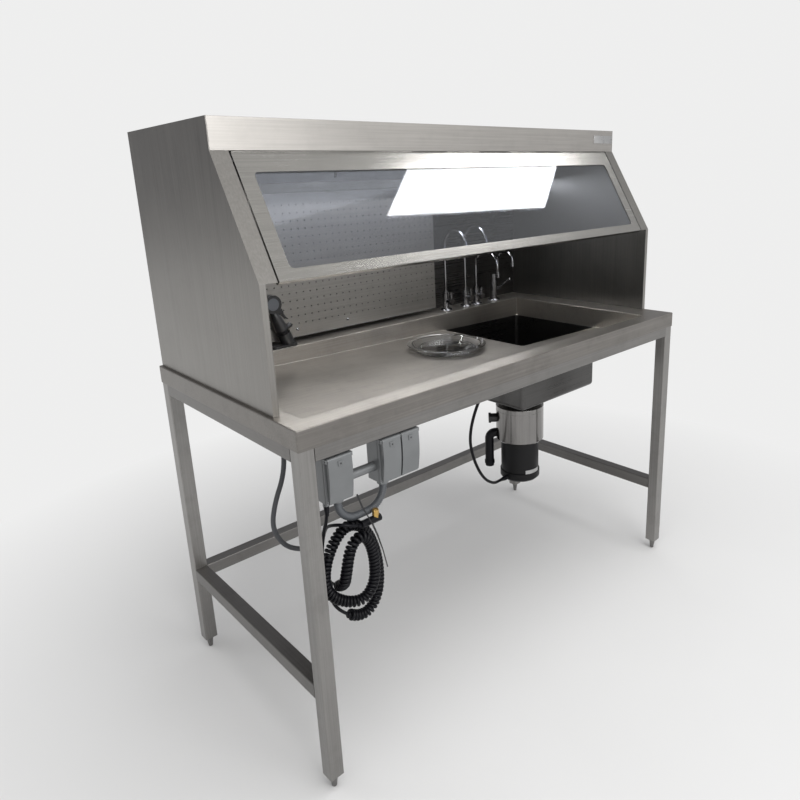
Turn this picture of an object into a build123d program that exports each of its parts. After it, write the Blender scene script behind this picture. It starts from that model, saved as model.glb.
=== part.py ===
from build123d import *
import os
from math import cos, hypot, radians, sin, tan

# Downdraft grossing station: a stainless table with a recessed worktop, a sink with a
# disposer, a three-sided hood with a perforated extract plenum, and a lift-up visor.
# Millimetres. The origin is on the floor under the middle of the worktop, the front
# is towards -Y and up is +Z.

# Worktop, one folded sheet
worktop_width = 1524.0
worktop_depth = 750.0
worktop_height = 936.0
skirt_height = 48.0
sheet = 2.0
rim_front = 57.0
rim_left = 50.0
rim_right = 106.0
deck_depth = 110.0
pan_drop_left = 34.0
pan_drop_crease = 49.0
crease_offset = 302.0
pan_fall = 0.02
edge_radius = 2.5

# Sink bowl welded under the pan
sink_width = 413.0
sink_length = 385.0
sink_floor_height = 640.0
bowl_corner_radius = 14.0
bowl_floor_radius = 16.0
drain_radius = 45.0

# Frame of square tube
tube = 38.1
tube_wall = 1.6
tube_corner = 3.0
seat_gap = 0.3
apron_overlap = 5.0
stretcher_top = 292.0
foot_height = 38.0
foot_radius = 10.5
foot_tip_radius = 6.5
stem_radius = 6.0
stem_length = 20.0
insert_thickness = 12.0
running_gap = 0.1

# Hood
hood_width = 1506.0
hood_rear_inset = 6.0
hood_front_offset = 108.0
slant_bottom_height = 1225.0
header_bottom_height = 1496.0
header_offset = 267.0
hood_top_height = 1566.0
front_flange = 15.0
slant_flange = 43.0
header_return = 22.0
plenum_depth = 44.0
plenum_right_x = 258.0
plenum_slot = 14.0
plenum_lip = 12.0
perforation_diameter = 5.0
perforation_pitch_x = 25.0
perforation_pitch_z = 24.5
perforation_columns = 40
perforation_rows = 16
perforation_step = 2
perforation_first_x = 20.0
perforation_first_z = 42.0
collar_radius = 76.0
collar_wall = 1.5
collar_height = 34.0
collar_x = -250.0

# Light under the roof
light_depth = 138.0
light_height = 140.0
lens_width = 92.0
lens_drop = 28.0
lens_length = 1400.0
switch_x = -236.0
switch_height = 1443.0
switch_width = 25.0
switch_tall = 16.0

# Visor
visor_gap = 4.0
visor_sheet = 1.5
visor_return = 15.0
window_width = 1340.0
window_bottom = 27.0
window_height = 234.0
window_radius = 12.0
glass_thickness = 5.0
glass_overlap = 14.0
barrel_radius = 3.2
barrel_pin_radius = 1.5
barrel_count = 11
barrel_gap = 0.6
leaf_thickness = 1.2
leaf_width = 22.0

# Taps on the rear deck
tap_x = (305.0, 410.0, 470.0)
tap_names = ("left", "middle", "right")
tap_top = (1240.0, 1246.0, 1150.0)
tap_setback = 60.0
tap_pipe_radius = 5.0
tap_bend_radius = 58.0
tap_body_height = 64.0
tap_body_radius = 13.0
tap_flange_radius = 23.0
handle_height = 34.0
mixer_x = 572.0
mixer_radius = 14.0
mixer_height = 82.0

# Hand spray in its holder
spray_x = -412.0
spray_setback = 80.0

# Disposer under the bowl
ring_radius = 92.0
ring_height = 556.0
motor_radius = 73.0
motor_top = 433.0
motor_bottom = 274.0
chamber_radius = 68.0
fitting_angle = 137.0

# Outlet boxes under the front apron
box_x = (-662.0, -491.0)
gang_count = (1, 2)
gang_width = 46.0
plate_margin = 24.0
plate_height = 114.0
plate_thickness = 4.0
box_depth = 48.0
box_height = 116.0
plate_setback = 14.0
lid_gap = 0.5

# Dish that rests in the pan
dish_x = 45.0
dish_offset = 415.0
dish_radius = 130.0
dish_height = 22.0
dish_wall = 3.0

os.makedirs("parts", exist_ok=True)


def write(piece, name):
    piece.label = name
    export_step(piece, f"parts/{name}.step")


# Derived places
front = -worktop_depth / 2
rear = worktop_depth / 2
frame_inset = sheet + seat_gap
leg_x = worktop_width / 2 - frame_inset - tube / 2
leg_y = worktop_depth / 2 - frame_inset - tube / 2
apron_top = worktop_height - skirt_height + apron_overlap
apron_bottom = apron_top - tube
pan_left = -worktop_width / 2 + rim_left
pan_right = worktop_width / 2 - rim_right
pan_front = front + rim_front
pan_rear = rear - deck_depth
crease_x = pan_left + crease_offset
sink_left = pan_right - sink_width
sink_front = pan_rear - sink_length
sink_x = (sink_left + pan_right) / 2
sink_y = (sink_front + pan_rear) / 2


def pan_height(x):
    """Height of the pan's top face right of the crease."""
    return worktop_height - pan_drop_crease - pan_fall * (x - crease_x)


# Worktop: rim and skirt, pan floor with its crease, and the sink opening
pan_profile = [
    (pan_left, worktop_height - pan_drop_left),
    (crease_x, pan_height(crease_x)),
    (pan_right, pan_height(pan_right)),
]
with BuildPart() as worktop:
    with BuildSketch(Plane.XY.offset(worktop_height - skirt_height)):
        Rectangle(worktop_width, worktop_depth)
    extrude(amount=skirt_height)
    fillet(worktop.edges().filter_by(Axis.Z), edge_radius + sheet)
    fillet(worktop.faces().sort_by(Axis.Z)[-1].edges(), edge_radius)
    with BuildSketch(Plane.XY.offset(worktop_height - skirt_height)):
        Rectangle(worktop_width - 2 * sheet, worktop_depth - 2 * sheet)
    extrude(amount=skirt_height - sheet, mode=Mode.SUBTRACT)
    with BuildSketch(Plane.XZ.offset(-(pan_rear + sheet))):
        with BuildLine():
            Polyline(
                (pan_left - sheet, worktop_height - sheet),
                (pan_left - sheet, pan_profile[0][1] - sheet),
                (crease_x, pan_profile[1][1] - sheet),
                (pan_right + sheet, pan_height(pan_right + sheet) - sheet),
                (pan_right + sheet, worktop_height - sheet),
                close=True,
            )
        make_face()
    extrude(amount=pan_rear - pan_front + 2 * sheet)
    with BuildSketch(Plane.XZ.offset(-pan_rear)):
        with BuildLine():
            Polyline(
                (pan_left, worktop_height + 1),
                *pan_profile,
                (pan_right, worktop_height + 1),
                close=True,
            )
        make_face()
    extrude(amount=pan_rear - pan_front, mode=Mode.SUBTRACT)
    with BuildSketch(Plane.XY.offset(worktop_height)):
        with Locations((sink_x, sink_y)):
            RectangleRounded(sink_width, sink_length, bowl_corner_radius)
    extrude(amount=-(pan_drop_crease + skirt_height), mode=Mode.SUBTRACT)
write(worktop.part, "worktop")

# Sink bowl: deep drawn corners, open top cut to the slope of the pan's underside
with BuildPart() as sink_bowl:
    with BuildSketch(Plane.XY.offset(sink_floor_height)):
        with Locations((sink_x, sink_y)):
            RectangleRounded(sink_width + 2 * sheet, sink_length + 2 * sheet, bowl_corner_radius + sheet)
    extrude(amount=worktop_height - sink_floor_height)
    fillet(sink_bowl.faces().sort_by(Axis.Z)[0].edges(), bowl_floor_radius)
    top_face = sink_bowl.faces().sort_by(Axis.Z)[-1]
    offset(amount=-sheet, openings=top_face)
    with Locations((sink_x, sink_y, sink_floor_height)):
        Cylinder(drain_radius, 4 * sheet, mode=Mode.SUBTRACT)
    split(
        bisect_by=Plane(
            origin=(crease_x, 0, pan_height(crease_x) - sheet),
            x_dir=(1, 0, -pan_fall),
            z_dir=(pan_fall, 0, 1),
        ),
        keep=Keep.BOTTOM,
    )
write(sink_bowl.part, "sink_bowl")


# Frame: four legs with threaded inserts, four apron rails and three stretchers
leg_places = {
    "front_left": (-leg_x, -leg_y),
    "front_right": (leg_x, -leg_y),
    "rear_left": (-leg_x, leg_y),
    "rear_right": (leg_x, leg_y),
}
for place, (x, y) in leg_places.items():
    with BuildPart() as leg:
        with BuildSketch(Plane((x, y, foot_height))):
            RectangleRounded(tube, tube, tube_corner)
            Rectangle(tube - 2 * tube_wall, tube - 2 * tube_wall, mode=Mode.SUBTRACT)
        extrude(amount=apron_top - foot_height)
        with BuildSketch(Plane((x, y, foot_height))):
            Rectangle(tube - 2 * tube_wall, tube - 2 * tube_wall)
            Circle(stem_radius + running_gap, mode=Mode.SUBTRACT)
        extrude(amount=insert_thickness)
    write(leg.part, f"leg_{place}")

    with BuildPart() as foot:
        with BuildSketch(Plane((x, y, 0), x_dir=(1, 0, 0), z_dir=(0, -1, 0))):
            with BuildLine():
                Polyline(
                    (0, 0),
                    (foot_tip_radius - 2, 0),
                    (foot_tip_radius, 2),
                    (foot_radius, foot_height * 0.8),
                    (foot_radius, foot_height - seat_gap),
                    (stem_radius, foot_height - seat_gap),
                    (stem_radius, foot_height + stem_length),
                    (0, foot_height + stem_length),
                    close=True,
                )
            make_face()
        revolve(axis=Axis((x, y, 0), (0, 0, 1)))
    write(foot.part, f"foot_{place}")


def rail(plane, length):
    """A square tube of a given length whose middle is at the plane's origin."""
    with BuildPart() as piece:
        with BuildSketch(plane):
            RectangleRounded(tube, tube, tube_corner)
            Rectangle(tube - 2 * tube_wall, tube - 2 * tube_wall, mode=Mode.SUBTRACT)
        extrude(amount=length / 2, both=True)
    return piece.part


long_rail = 2 * leg_x - tube
short_rail = 2 * leg_y - tube
apron_mid = apron_top - tube / 2
stretcher_mid = stretcher_top - tube / 2
write(rail(Plane((0, -leg_y, apron_mid), x_dir=(0, 1, 0), z_dir=(1, 0, 0)), long_rail), "apron_front")
write(rail(Plane((0, leg_y, apron_mid), x_dir=(0, 1, 0), z_dir=(1, 0, 0)), long_rail), "apron_rear")
write(rail(Plane((-leg_x, 0, apron_mid), x_dir=(1, 0, 0), z_dir=(0, 1, 0)), short_rail), "apron_left")
write(rail(Plane((leg_x, 0, apron_mid), x_dir=(1, 0, 0), z_dir=(0, 1, 0)), short_rail), "apron_right")
write(
    rail(Plane((0, leg_y, stretcher_mid), x_dir=(0, 1, 0), z_dir=(1, 0, 0)), long_rail),
    "stretcher_rear",
)
write(
    rail(Plane((-leg_x, 0, stretcher_mid), x_dir=(1, 0, 0), z_dir=(0, 1, 0)), short_rail),
    "stretcher_left",
)
write(
    rail(Plane((leg_x, 0, stretcher_mid), x_dir=(1, 0, 0), z_dir=(0, 1, 0)), short_rail),
    "stretcher_right",
)

# Hood: places of its slanted front, given on the outer face
hood_front = front + hood_front_offset
hood_rear = rear - hood_rear_inset
header_front = front + header_offset
slant_run = header_front - hood_front
slant_rise = header_bottom_height - slant_bottom_height
slant_length = hypot(slant_run, slant_rise)
up_slope = (slant_run / slant_length, slant_rise / slant_length)
outward = (-up_slope[1], up_slope[0])
side_x = hood_width / 2
inner_x = side_x - sheet


def on_slant(s, depth):
    """Point (y, z) at s up the slanted front and depth behind its outer face."""
    return (
        hood_front + s * up_slope[0] - depth * outward[0],
        slant_bottom_height + s * up_slope[1] - depth * outward[1],
    )


# Side panels: a flat web with a flange turned in along the front and slanted edges
for side, name in ((-1, "hood_side_left"), (1, "hood_side_right")):
    with BuildPart() as hood_side:
        with BuildSketch(Plane.YZ.offset(side * side_x)):
            with BuildLine():
                Polyline(
                    (hood_rear, worktop_height),
                    (hood_rear, hood_top_height),
                    (header_front, hood_top_height),
                    (header_front, header_bottom_height),
                    (hood_front, slant_bottom_height),
                    (hood_front, worktop_height),
                    close=True,
                )
            make_face()
        extrude(amount=-side * sheet)
        with BuildSketch(Plane.YZ.offset(side * side_x)):
            with BuildLine():
                Polyline(
                    (hood_front, slant_bottom_height),
                    (hood_front, worktop_height),
                    (hood_front + sheet, worktop_height),
                    (hood_front + sheet, slant_bottom_height),
                    close=True,
                )
            make_face()
        extrude(amount=-side * front_flange)
        with BuildSketch(Plane.YZ.offset(side * side_x)):
            with BuildLine():
                Polyline(
                    on_slant(0, 0),
                    on_slant(slant_length, 0),
                    on_slant(slant_length, sheet),
                    on_slant(0, sheet),
                    close=True,
                )
            make_face()
        extrude(amount=-side * slant_flange)
    write(hood_side.part, name)

# Roof and header, one folded sheet between the side panels, with the duct collar
collar_y = hood_rear - sheet - plenum_depth - light_depth / 2 + collar_radius / 2
with BuildPart() as hood_roof:
    with BuildSketch(Plane.YZ.offset(-inner_x)):
        with BuildLine():
            Polyline(
                (header_front, header_bottom_height),
                (header_front, hood_top_height),
                (hood_rear, hood_top_height),
                (hood_rear, hood_top_height - sheet),
                (header_front + sheet, hood_top_height - sheet),
                (header_front + sheet, header_bottom_height + sheet),
                (header_front + header_return, header_bottom_height + sheet),
                (header_front + header_return, header_bottom_height),
                close=True,
            )
        make_face()
    extrude(amount=2 * inner_x)
    with BuildSketch(Plane.XY.offset(hood_top_height)):
        with Locations((collar_x, collar_y)):
            Circle(collar_radius)
            Circle(collar_radius - collar_wall, mode=Mode.SUBTRACT)
    extrude(amount=collar_height)
    with BuildSketch(Plane.XY.offset(hood_top_height)):
        with Locations((collar_x, collar_y)):
            Circle(collar_radius - collar_wall)
    extrude(amount=-sheet, mode=Mode.SUBTRACT)
write(hood_roof.part, "hood_roof")

# Back panel between the sides, under the roof
with BuildPart() as hood_back:
    with BuildSketch(Plane.XY.offset(worktop_height)):
        with Locations((0, hood_rear - sheet / 2)):
            Rectangle(2 * inner_x, sheet)
    extrude(amount=hood_top_height - sheet - worktop_height)
write(hood_back.part, "hood_back")

# Extract plenum: a perforated front that stands proud of the back panel, with a
# return at its right end and a lip over the slot at its foot
plenum_front = hood_rear - sheet - plenum_depth
plenum_bottom = worktop_height + plenum_slot
plenum_top = hood_top_height - sheet
with BuildPart() as plenum_panel:
    with BuildSketch(Plane.XY.offset(plenum_bottom)):
        with BuildLine():
            Polyline(
                (-inner_x, plenum_front),
                (plenum_right_x, plenum_front),
                (plenum_right_x, hood_rear - sheet),
                (plenum_right_x - sheet, hood_rear - sheet),
                (plenum_right_x - sheet, plenum_front + sheet),
                (-inner_x, plenum_front + sheet),
                close=True,
            )
        make_face()
    extrude(amount=plenum_top - plenum_bottom)
    with BuildSketch(Plane.YZ.offset(-inner_x)):
        with Locations((plenum_front, plenum_bottom)):
            Rectangle(plenum_lip, sheet, align=(Align.MIN, Align.MIN))
    extrude(amount=plenum_right_x + inner_x)
    kept_columns = perforation_columns // perforation_step
    kept_rows = perforation_rows // perforation_step
    kept_pitch_x = perforation_step * perforation_pitch_x
    kept_pitch_z = perforation_step * perforation_pitch_z
    first_hole_x = -inner_x + perforation_first_x
    first_hole_z = plenum_bottom + perforation_first_z
    field_x = first_hole_x + (kept_columns - 1) * kept_pitch_x / 2
    field_z = first_hole_z + (kept_rows - 1) * kept_pitch_z / 2
    with BuildSketch(Plane((field_x, plenum_front, field_z), x_dir=(1, 0, 0), z_dir=(0, -1, 0))):
        with GridLocations(kept_pitch_x, kept_pitch_z, kept_columns, kept_rows):
            Circle(perforation_diameter / 2)
    extrude(amount=-sheet, mode=Mode.SUBTRACT)
write(plenum_panel.part, "plenum_panel")

# Light housing under the roof, in front of the plenum, with its switch bezel
light_front = plenum_front - light_depth
light_bottom = plenum_top - light_height
with BuildPart() as light_housing:
    with BuildSketch(Plane.YZ.offset(-inner_x)):
        with BuildLine():
            Polyline(
                (light_front, plenum_top),
                (light_front, light_bottom),
                (plenum_front, light_bottom),
                (plenum_front, light_bottom + sheet),
                (light_front + sheet, light_bottom + sheet),
                (light_front + sheet, plenum_top),
                close=True,
            )
        make_face()
    extrude(amount=2 * inner_x)
    with BuildSketch(Plane((switch_x, light_front, switch_height), x_dir=(1, 0, 0), z_dir=(0, -1, 0))):
        Rectangle(switch_width, switch_tall)
    extrude(amount=2.5)
    with Locations((switch_x, light_front, switch_height)):
        Box(switch_width - 5, 4 * sheet, switch_tall - 5, mode=Mode.SUBTRACT)
write(light_housing.part, "light_housing")

# Rocker of the light switch: a drum that turns in the bezel, with a tilted paddle
rocker_drum = (switch_tall - 5) / 2 - seat_gap
with BuildPart() as light_switch:
    with BuildSketch(Plane.YZ.offset(switch_x)):
        with Locations((light_front, switch_height)):
            Circle(rocker_drum)
    extrude(amount=(switch_width - 5) / 2 - seat_gap, both=True)
    tilt = radians(8)
    tilted = Plane((switch_x, light_front, switch_height), x_dir=(0, cos(tilt), sin(tilt)), z_dir=(1, 0, 0))
    with BuildSketch(tilted):
        with Locations((-2.4, 0)):
            Rectangle(4.8, 5)
        with Locations((-5, 0)):
            Rectangle(2, 13)
    extrude(amount=(switch_width - 5) / 2 - seat_gap, both=True)
write(light_switch.part, "light_switch")

# Lens strip under the light housing
with BuildPart() as light_lens:
    with BuildSketch(Plane.YZ.offset(-lens_length / 2)):
        with BuildLine():
            Polyline(
                (light_front + 2, light_bottom),
                (light_front + 10, light_bottom - lens_drop),
                (light_front + lens_width - 10, light_bottom - lens_drop),
                (light_front + lens_width, light_bottom),
                close=True,
            )
        make_face()
        fillet(vertices().sort_by(Axis.Y)[:2], 6)
    extrude(amount=lens_length)
write(light_lens.part, "light_lens")

# Visor: a folded sheet frame around a clear panel, hung from a piano hinge whose
# barrel lies just under the header
slant = Plane((0, hood_front, slant_bottom_height), x_dir=(1, 0, 0), z_dir=(0, outward[0], outward[1]))
visor_half = side_x - slant_flange - visor_gap
barrel_s = (slant_rise - barrel_radius - 0.5 + barrel_radius * outward[1]) / up_slope[1]
barrel_y, barrel_z = on_slant(barrel_s, barrel_radius)
visor_top = barrel_s - barrel_radius - 0.5
window_mid = window_bottom + window_height / 2
hinge_length = 2 * visor_half - 2
knuckle_pitch = hinge_length / barrel_count
knuckle = knuckle_pitch - barrel_gap
fixed_knuckles = [(k - barrel_count // 2) * knuckle_pitch for k in range(0, barrel_count, 2)]
swung_knuckles = [(k - barrel_count // 2) * knuckle_pitch for k in range(1, barrel_count, 2)]
barrel_axis = Plane((0, barrel_y, barrel_z), x_dir=(0, 1, 0), z_dir=(1, 0, 0))
with BuildPart() as visor_frame:
    with BuildSketch(slant):
        with Locations((0, visor_top / 2)):
            Rectangle(2 * visor_half, visor_top)
        with Locations((0, window_mid)):
            RectangleRounded(window_width, window_height, window_radius, mode=Mode.SUBTRACT)
    extrude(amount=-visor_sheet)
    with BuildSketch(slant):
        with Locations((0, visor_sheet / 2)):
            Rectangle(2 * visor_half, visor_sheet)
        with Locations(
            (-visor_half + visor_sheet / 2, window_mid),
            (visor_half - visor_sheet / 2, window_mid),
        ):
            Rectangle(visor_sheet, 2 * window_mid)
    extrude(amount=-visor_return)
    with BuildSketch(slant.offset(-visor_sheet)):
        with Locations((0, visor_top)):
            Rectangle(hinge_length, leaf_width, align=(Align.CENTER, Align.MAX))
        with Locations(*[(x, barrel_s) for x in swung_knuckles]):
            Rectangle(knuckle, leaf_width, align=(Align.CENTER, Align.MAX))
    extrude(amount=-leaf_thickness)
    for x in swung_knuckles:
        with BuildSketch(barrel_axis.offset(x)):
            Circle(barrel_radius)
        extrude(amount=knuckle / 2, both=True)
    with BuildSketch(barrel_axis):
        Circle(barrel_pin_radius + running_gap)
    extrude(amount=visor_half, both=True, mode=Mode.SUBTRACT)
write(visor_frame.part, "visor_frame")

with BuildPart() as visor_glass:
    with BuildSketch(slant.offset(-visor_sheet)):
        with Locations((0, window_mid)):
            RectangleRounded(
                window_width + 2 * glass_overlap,
                window_height + 2 * glass_overlap,
                window_radius,
            )
    extrude(amount=-glass_thickness)
write(visor_glass.part, "visor_glass")

# Fixed leaf of the hinge, under the header's return, with the pin through all knuckles
with BuildPart() as visor_hinge:
    with BuildSketch(Plane.XY.offset(header_bottom_height)):
        with Locations((0, barrel_y + barrel_radius + 0.5)):
            Rectangle(hinge_length, leaf_width - barrel_radius - 2, align=(Align.CENTER, Align.MIN))
        with Locations(*[(x, barrel_y) for x in fixed_knuckles]):
            Rectangle(knuckle, leaf_width - 4, align=(Align.CENTER, Align.MIN))
    extrude(amount=-leaf_thickness)
    for x in fixed_knuckles:
        with BuildSketch(barrel_axis.offset(x)):
            Circle(barrel_radius)
        extrude(amount=knuckle / 2, both=True)
    with BuildSketch(barrel_axis):
        Circle(barrel_pin_radius)
    extrude(amount=hinge_length / 2 - barrel_gap, both=True)
write(visor_hinge.part, "visor_hinge")

# Taps: bodies on the rear deck, swan-neck spouts that swivel in them, lever handles
tap_y = rear - tap_setback
body_top = worktop_height + tap_body_height
handle_z = worktop_height + handle_height
with BuildPart() as tap_bodies:
    for x in tap_x:
        with BuildSketch(Plane((x, tap_y, worktop_height))):
            Circle(tap_flange_radius)
        extrude(amount=4, taper=20)
        with BuildSketch(Plane((x, tap_y, worktop_height))):
            Circle(tap_body_radius)
        extrude(amount=tap_body_height)
        with BuildSketch(Plane((x, tap_y, handle_z), x_dir=(1, 0, 0), z_dir=(0, -1, 0))):
            Circle(9)
        extrude(amount=tap_body_radius + 10)
        with BuildSketch(Plane((x, tap_y, handle_z), x_dir=(1, 0, 0), z_dir=(0, -1, 0))):
            Circle(4)
        extrude(amount=tap_body_radius + 18)
        with BuildSketch(Plane((x, tap_y, body_top))):
            Circle(tap_pipe_radius + running_gap)
        extrude(amount=-20, mode=Mode.SUBTRACT)
write(tap_bodies.part, "tap_bodies")

for x, top, name in zip(tap_x, tap_top, tap_names):
    bend_start = top - tap_pipe_radius - tap_bend_radius
    foot_z = body_top - 20 + seat_gap
    with BuildPart() as spout:
        with BuildLine():
            Line((x, tap_y, foot_z), (x, tap_y, bend_start))
            ThreePointArc(
                (x, tap_y, bend_start),
                (x, tap_y - tap_bend_radius, bend_start + tap_bend_radius),
                (x, tap_y - 2 * tap_bend_radius, bend_start),
            )
            Line(
                (x, tap_y - 2 * tap_bend_radius, bend_start),
                (x, tap_y - 2 * tap_bend_radius, bend_start - 8),
            )
        with BuildSketch(Plane((x, tap_y, foot_z))):
            Circle(tap_pipe_radius)
        sweep()
        with BuildSketch(Plane((x, tap_y, body_top + seat_gap))):
            Circle(9)
        extrude(amount=8)
        with BuildSketch(Plane((x, tap_y - 2 * tap_bend_radius, bend_start - 4))):
            Circle(7)
        extrude(amount=-12, taper=6)
        with BuildSketch(Plane((x, tap_y - 2 * tap_bend_radius, bend_start - 16))):
            Circle(3.5)
        extrude(amount=8, mode=Mode.SUBTRACT)
    write(spout.part, f"tap_spout_{name}")

    hub_y = tap_y - tap_body_radius - 10 - seat_gap
    with BuildPart() as handle:
        with BuildSketch(Plane((x, hub_y, handle_z), x_dir=(1, 0, 0), z_dir=(0, -1, 0))):
            Circle(11)
        extrude(amount=13)
        with BuildSketch(Plane((x, hub_y - 8, handle_z))):
            RectangleRounded(9, 7, 3)
        extrude(amount=36, taper=-1.5)
        with BuildSketch(Plane((x, hub_y, handle_z), x_dir=(1, 0, 0), z_dir=(0, -1, 0))):
            Circle(4 + running_gap)
        extrude(amount=8.5, mode=Mode.SUBTRACT)
    write(handle.part, f"tap_handle_{name}")

# Mixer: upright body with a side arm for the spout and a clevis for the lever
mixer_top = worktop_height + mixer_height
arm_z = mixer_top + 14
spout_x = mixer_x + 26
lever_z = worktop_height + 46
lever_x = mixer_x + mixer_radius + 10
with BuildPart() as mixer_body:
    with BuildSketch(Plane((mixer_x, tap_y, worktop_height))):
        Circle(mixer_radius + 11)
    extrude(amount=5, taper=20)
    with BuildSketch(Plane((mixer_x, tap_y, worktop_height))):
        Circle(mixer_radius)
    extrude(amount=mixer_height)
    with BuildSketch(Plane((mixer_x, tap_y, mixer_top))):
        Circle(mixer_radius - 3)
    extrude(amount=24)
    with BuildSketch(Plane((mixer_x, tap_y, arm_z), x_dir=(0, 1, 0), z_dir=(1, 0, 0))):
        Circle(7)
    extrude(amount=26)
    with BuildSketch(Plane((spout_x, tap_y, arm_z - 9))):
        Circle(10)
    extrude(amount=18)
    with BuildSketch(Plane((spout_x, tap_y, arm_z + 9))):
        Circle(tap_pipe_radius + running_gap)
    extrude(amount=-14, mode=Mode.SUBTRACT)
    with Locations((mixer_x + mixer_radius + 6, tap_y, lever_z)):
        Box(24, 20, 14)
    with Locations((mixer_x + mixer_radius + 11.5, tap_y, lever_z)):
        Box(21, 10 + 2 * seat_gap, 16, mode=Mode.SUBTRACT)
    with BuildSketch(Plane((lever_x, tap_y, lever_z), x_dir=(1, 0, 0), z_dir=(0, -1, 0))):
        Circle(2.5)
    extrude(amount=9.5, both=True)
write(mixer_body.part, "mixer_body")

mixer_bend = 40
mixer_bend_start = arm_z + 60
with BuildPart() as mixer_spout:
    with BuildLine():
        Line((spout_x, tap_y, arm_z - 5 + seat_gap), (spout_x, tap_y, mixer_bend_start))
        ThreePointArc(
            (spout_x, tap_y, mixer_bend_start),
            (spout_x, tap_y - mixer_bend, mixer_bend_start + mixer_bend),
            (spout_x, tap_y - 2 * mixer_bend, mixer_bend_start),
        )
        Line(
            (spout_x, tap_y - 2 * mixer_bend, mixer_bend_start),
            (spout_x, tap_y - 2 * mixer_bend, mixer_bend_start - 8),
        )
    with BuildSketch(Plane((spout_x, tap_y, arm_z - 5 + seat_gap))):
        Circle(tap_pipe_radius)
    sweep()
    with BuildSketch(Plane((spout_x, tap_y, arm_z + 9 + seat_gap))):
        Circle(8)
    extrude(amount=7)
    with BuildSketch(Plane((spout_x, tap_y - 2 * mixer_bend, mixer_bend_start - 4))):
        Circle(7)
    extrude(amount=-14)
    with BuildSketch(Plane((spout_x, tap_y - 2 * mixer_bend, mixer_bend_start - 18))):
        Circle(5)
    extrude(amount=9, mode=Mode.SUBTRACT)
write(mixer_spout.part, "mixer_spout")

with BuildPart() as mixer_lever:
    with BuildSketch(Plane((lever_x, tap_y, lever_z), x_dir=(1, 0, 0), z_dir=(0, -1, 0))):
        Circle(6)
    extrude(amount=5, both=True)
    with BuildSketch(Plane((lever_x, tap_y, lever_z), x_dir=(0, 1, 0), z_dir=(0.95, 0, 0.31))):
        Circle(3.5)
    extrude(amount=78)
    with Locations((lever_x + 0.95 * 78, tap_y, lever_z + 0.31 * 78)):
        Sphere(5)
    with BuildSketch(Plane((lever_x, tap_y, lever_z), x_dir=(1, 0, 0), z_dir=(0, -1, 0))):
        Circle(2.5 + running_gap)
    extrude(amount=6, both=True, mode=Mode.SUBTRACT)
write(mixer_lever.part, "mixer_lever")

# Hand spray leaning in a holder on the deck, its head towards the front
spray_y = rear - spray_setback
lean = radians(22)
spray_axis = Plane(
    (spray_x + 24, spray_y, worktop_height),
    x_dir=(cos(lean), 0, sin(lean)),
    z_dir=(-sin(lean), 0, cos(lean)),
)
socket_bottom = 16
socket_top = 44
shank_radius = 13
lever_pivot = (21, 0, 112)
with BuildPart() as spray_holder:
    with BuildSketch(Plane((spray_x, spray_y, worktop_height))):
        with Locations((2, 0)):
            RectangleRounded(92, 46, 20)
    extrude(amount=7)
    with BuildSketch(spray_axis):
        Circle(21)
    extrude(amount=socket_top)
    with BuildSketch(spray_axis.offset(socket_bottom)):
        Circle(shank_radius + running_gap)
    extrude(amount=socket_top, mode=Mode.SUBTRACT)
    with Locations((spray_x, spray_y, worktop_height)):
        Box(200, 100, 40, align=(Align.CENTER, Align.CENTER, Align.MAX), mode=Mode.SUBTRACT)
write(spray_holder.part, "spray_holder")

head_centre = spray_axis.from_local_coords(Vector(6, 0, 145))
with BuildPart() as spray_handle:
    with BuildSketch(Plane(spray_axis.origin, x_dir=spray_axis.x_dir, z_dir=-spray_axis.y_dir)):
        with BuildLine():
            Polyline(
                (0, socket_bottom),
                (shank_radius, socket_bottom),
                (shank_radius, socket_top + 4),
                (21, socket_top + 14),
                (20, 70),
                (15, 104),
                (10, 124),
                (0, 124),
                close=True,
            )
        make_face()
    revolve(axis=Axis(spray_axis.origin, spray_axis.z_dir))
    with BuildSketch(spray_axis.offset(100)):
        Circle(9)
    extrude(amount=34)
    with BuildSketch(Plane(head_centre + Vector(0, 12, 0), x_dir=(1, 0, 0), z_dir=(0, -1, 0))):
        Circle(28)
    extrude(amount=26)
    fillet(spray_handle.faces().sort_by(Axis.Y)[-1].edges(), 6)
    with BuildSketch(Plane(head_centre + Vector(0, -14, 0), x_dir=(1, 0, 0), z_dir=(0, -1, 0))):
        Circle(19)
    extrude(amount=-4, mode=Mode.SUBTRACT)
    with BuildSketch(
        Plane(
            spray_axis.from_local_coords(Vector(12, 0, 56)),
            x_dir=spray_axis.z_dir,
            z_dir=spray_axis.x_dir,
        )
    ):
        Circle(9)
    extrude(amount=22)
    with BuildSketch(spray_axis.offset(lever_pivot[2] - 7)):
        with Locations((lever_pivot[0] - 6, 9), (lever_pivot[0] - 6, -9)):
            Rectangle(22, 4)
    extrude(amount=14)
    with BuildSketch(spray_axis.offset(lever_pivot[2] - 7)):
        with Locations((lever_pivot[0] + 1, 0)):
            Rectangle(16, 14)
    extrude(amount=14, mode=Mode.SUBTRACT)
    pin_plane = Plane(
        spray_axis.from_local_coords(Vector(*lever_pivot)),
        x_dir=spray_axis.x_dir,
        z_dir=spray_axis.y_dir,
    )
    with BuildSketch(pin_plane):
        Circle(2)
    extrude(amount=10, both=True)
write(spray_handle.part, "spray_handle")

with BuildPart() as spray_face:
    with BuildSketch(Plane(head_centre + Vector(0, -14, 0), x_dir=(1, 0, 0), z_dir=(0, -1, 0))):
        Circle(19)
    extrude(amount=-4)
write(spray_face.part, "spray_face")

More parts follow.
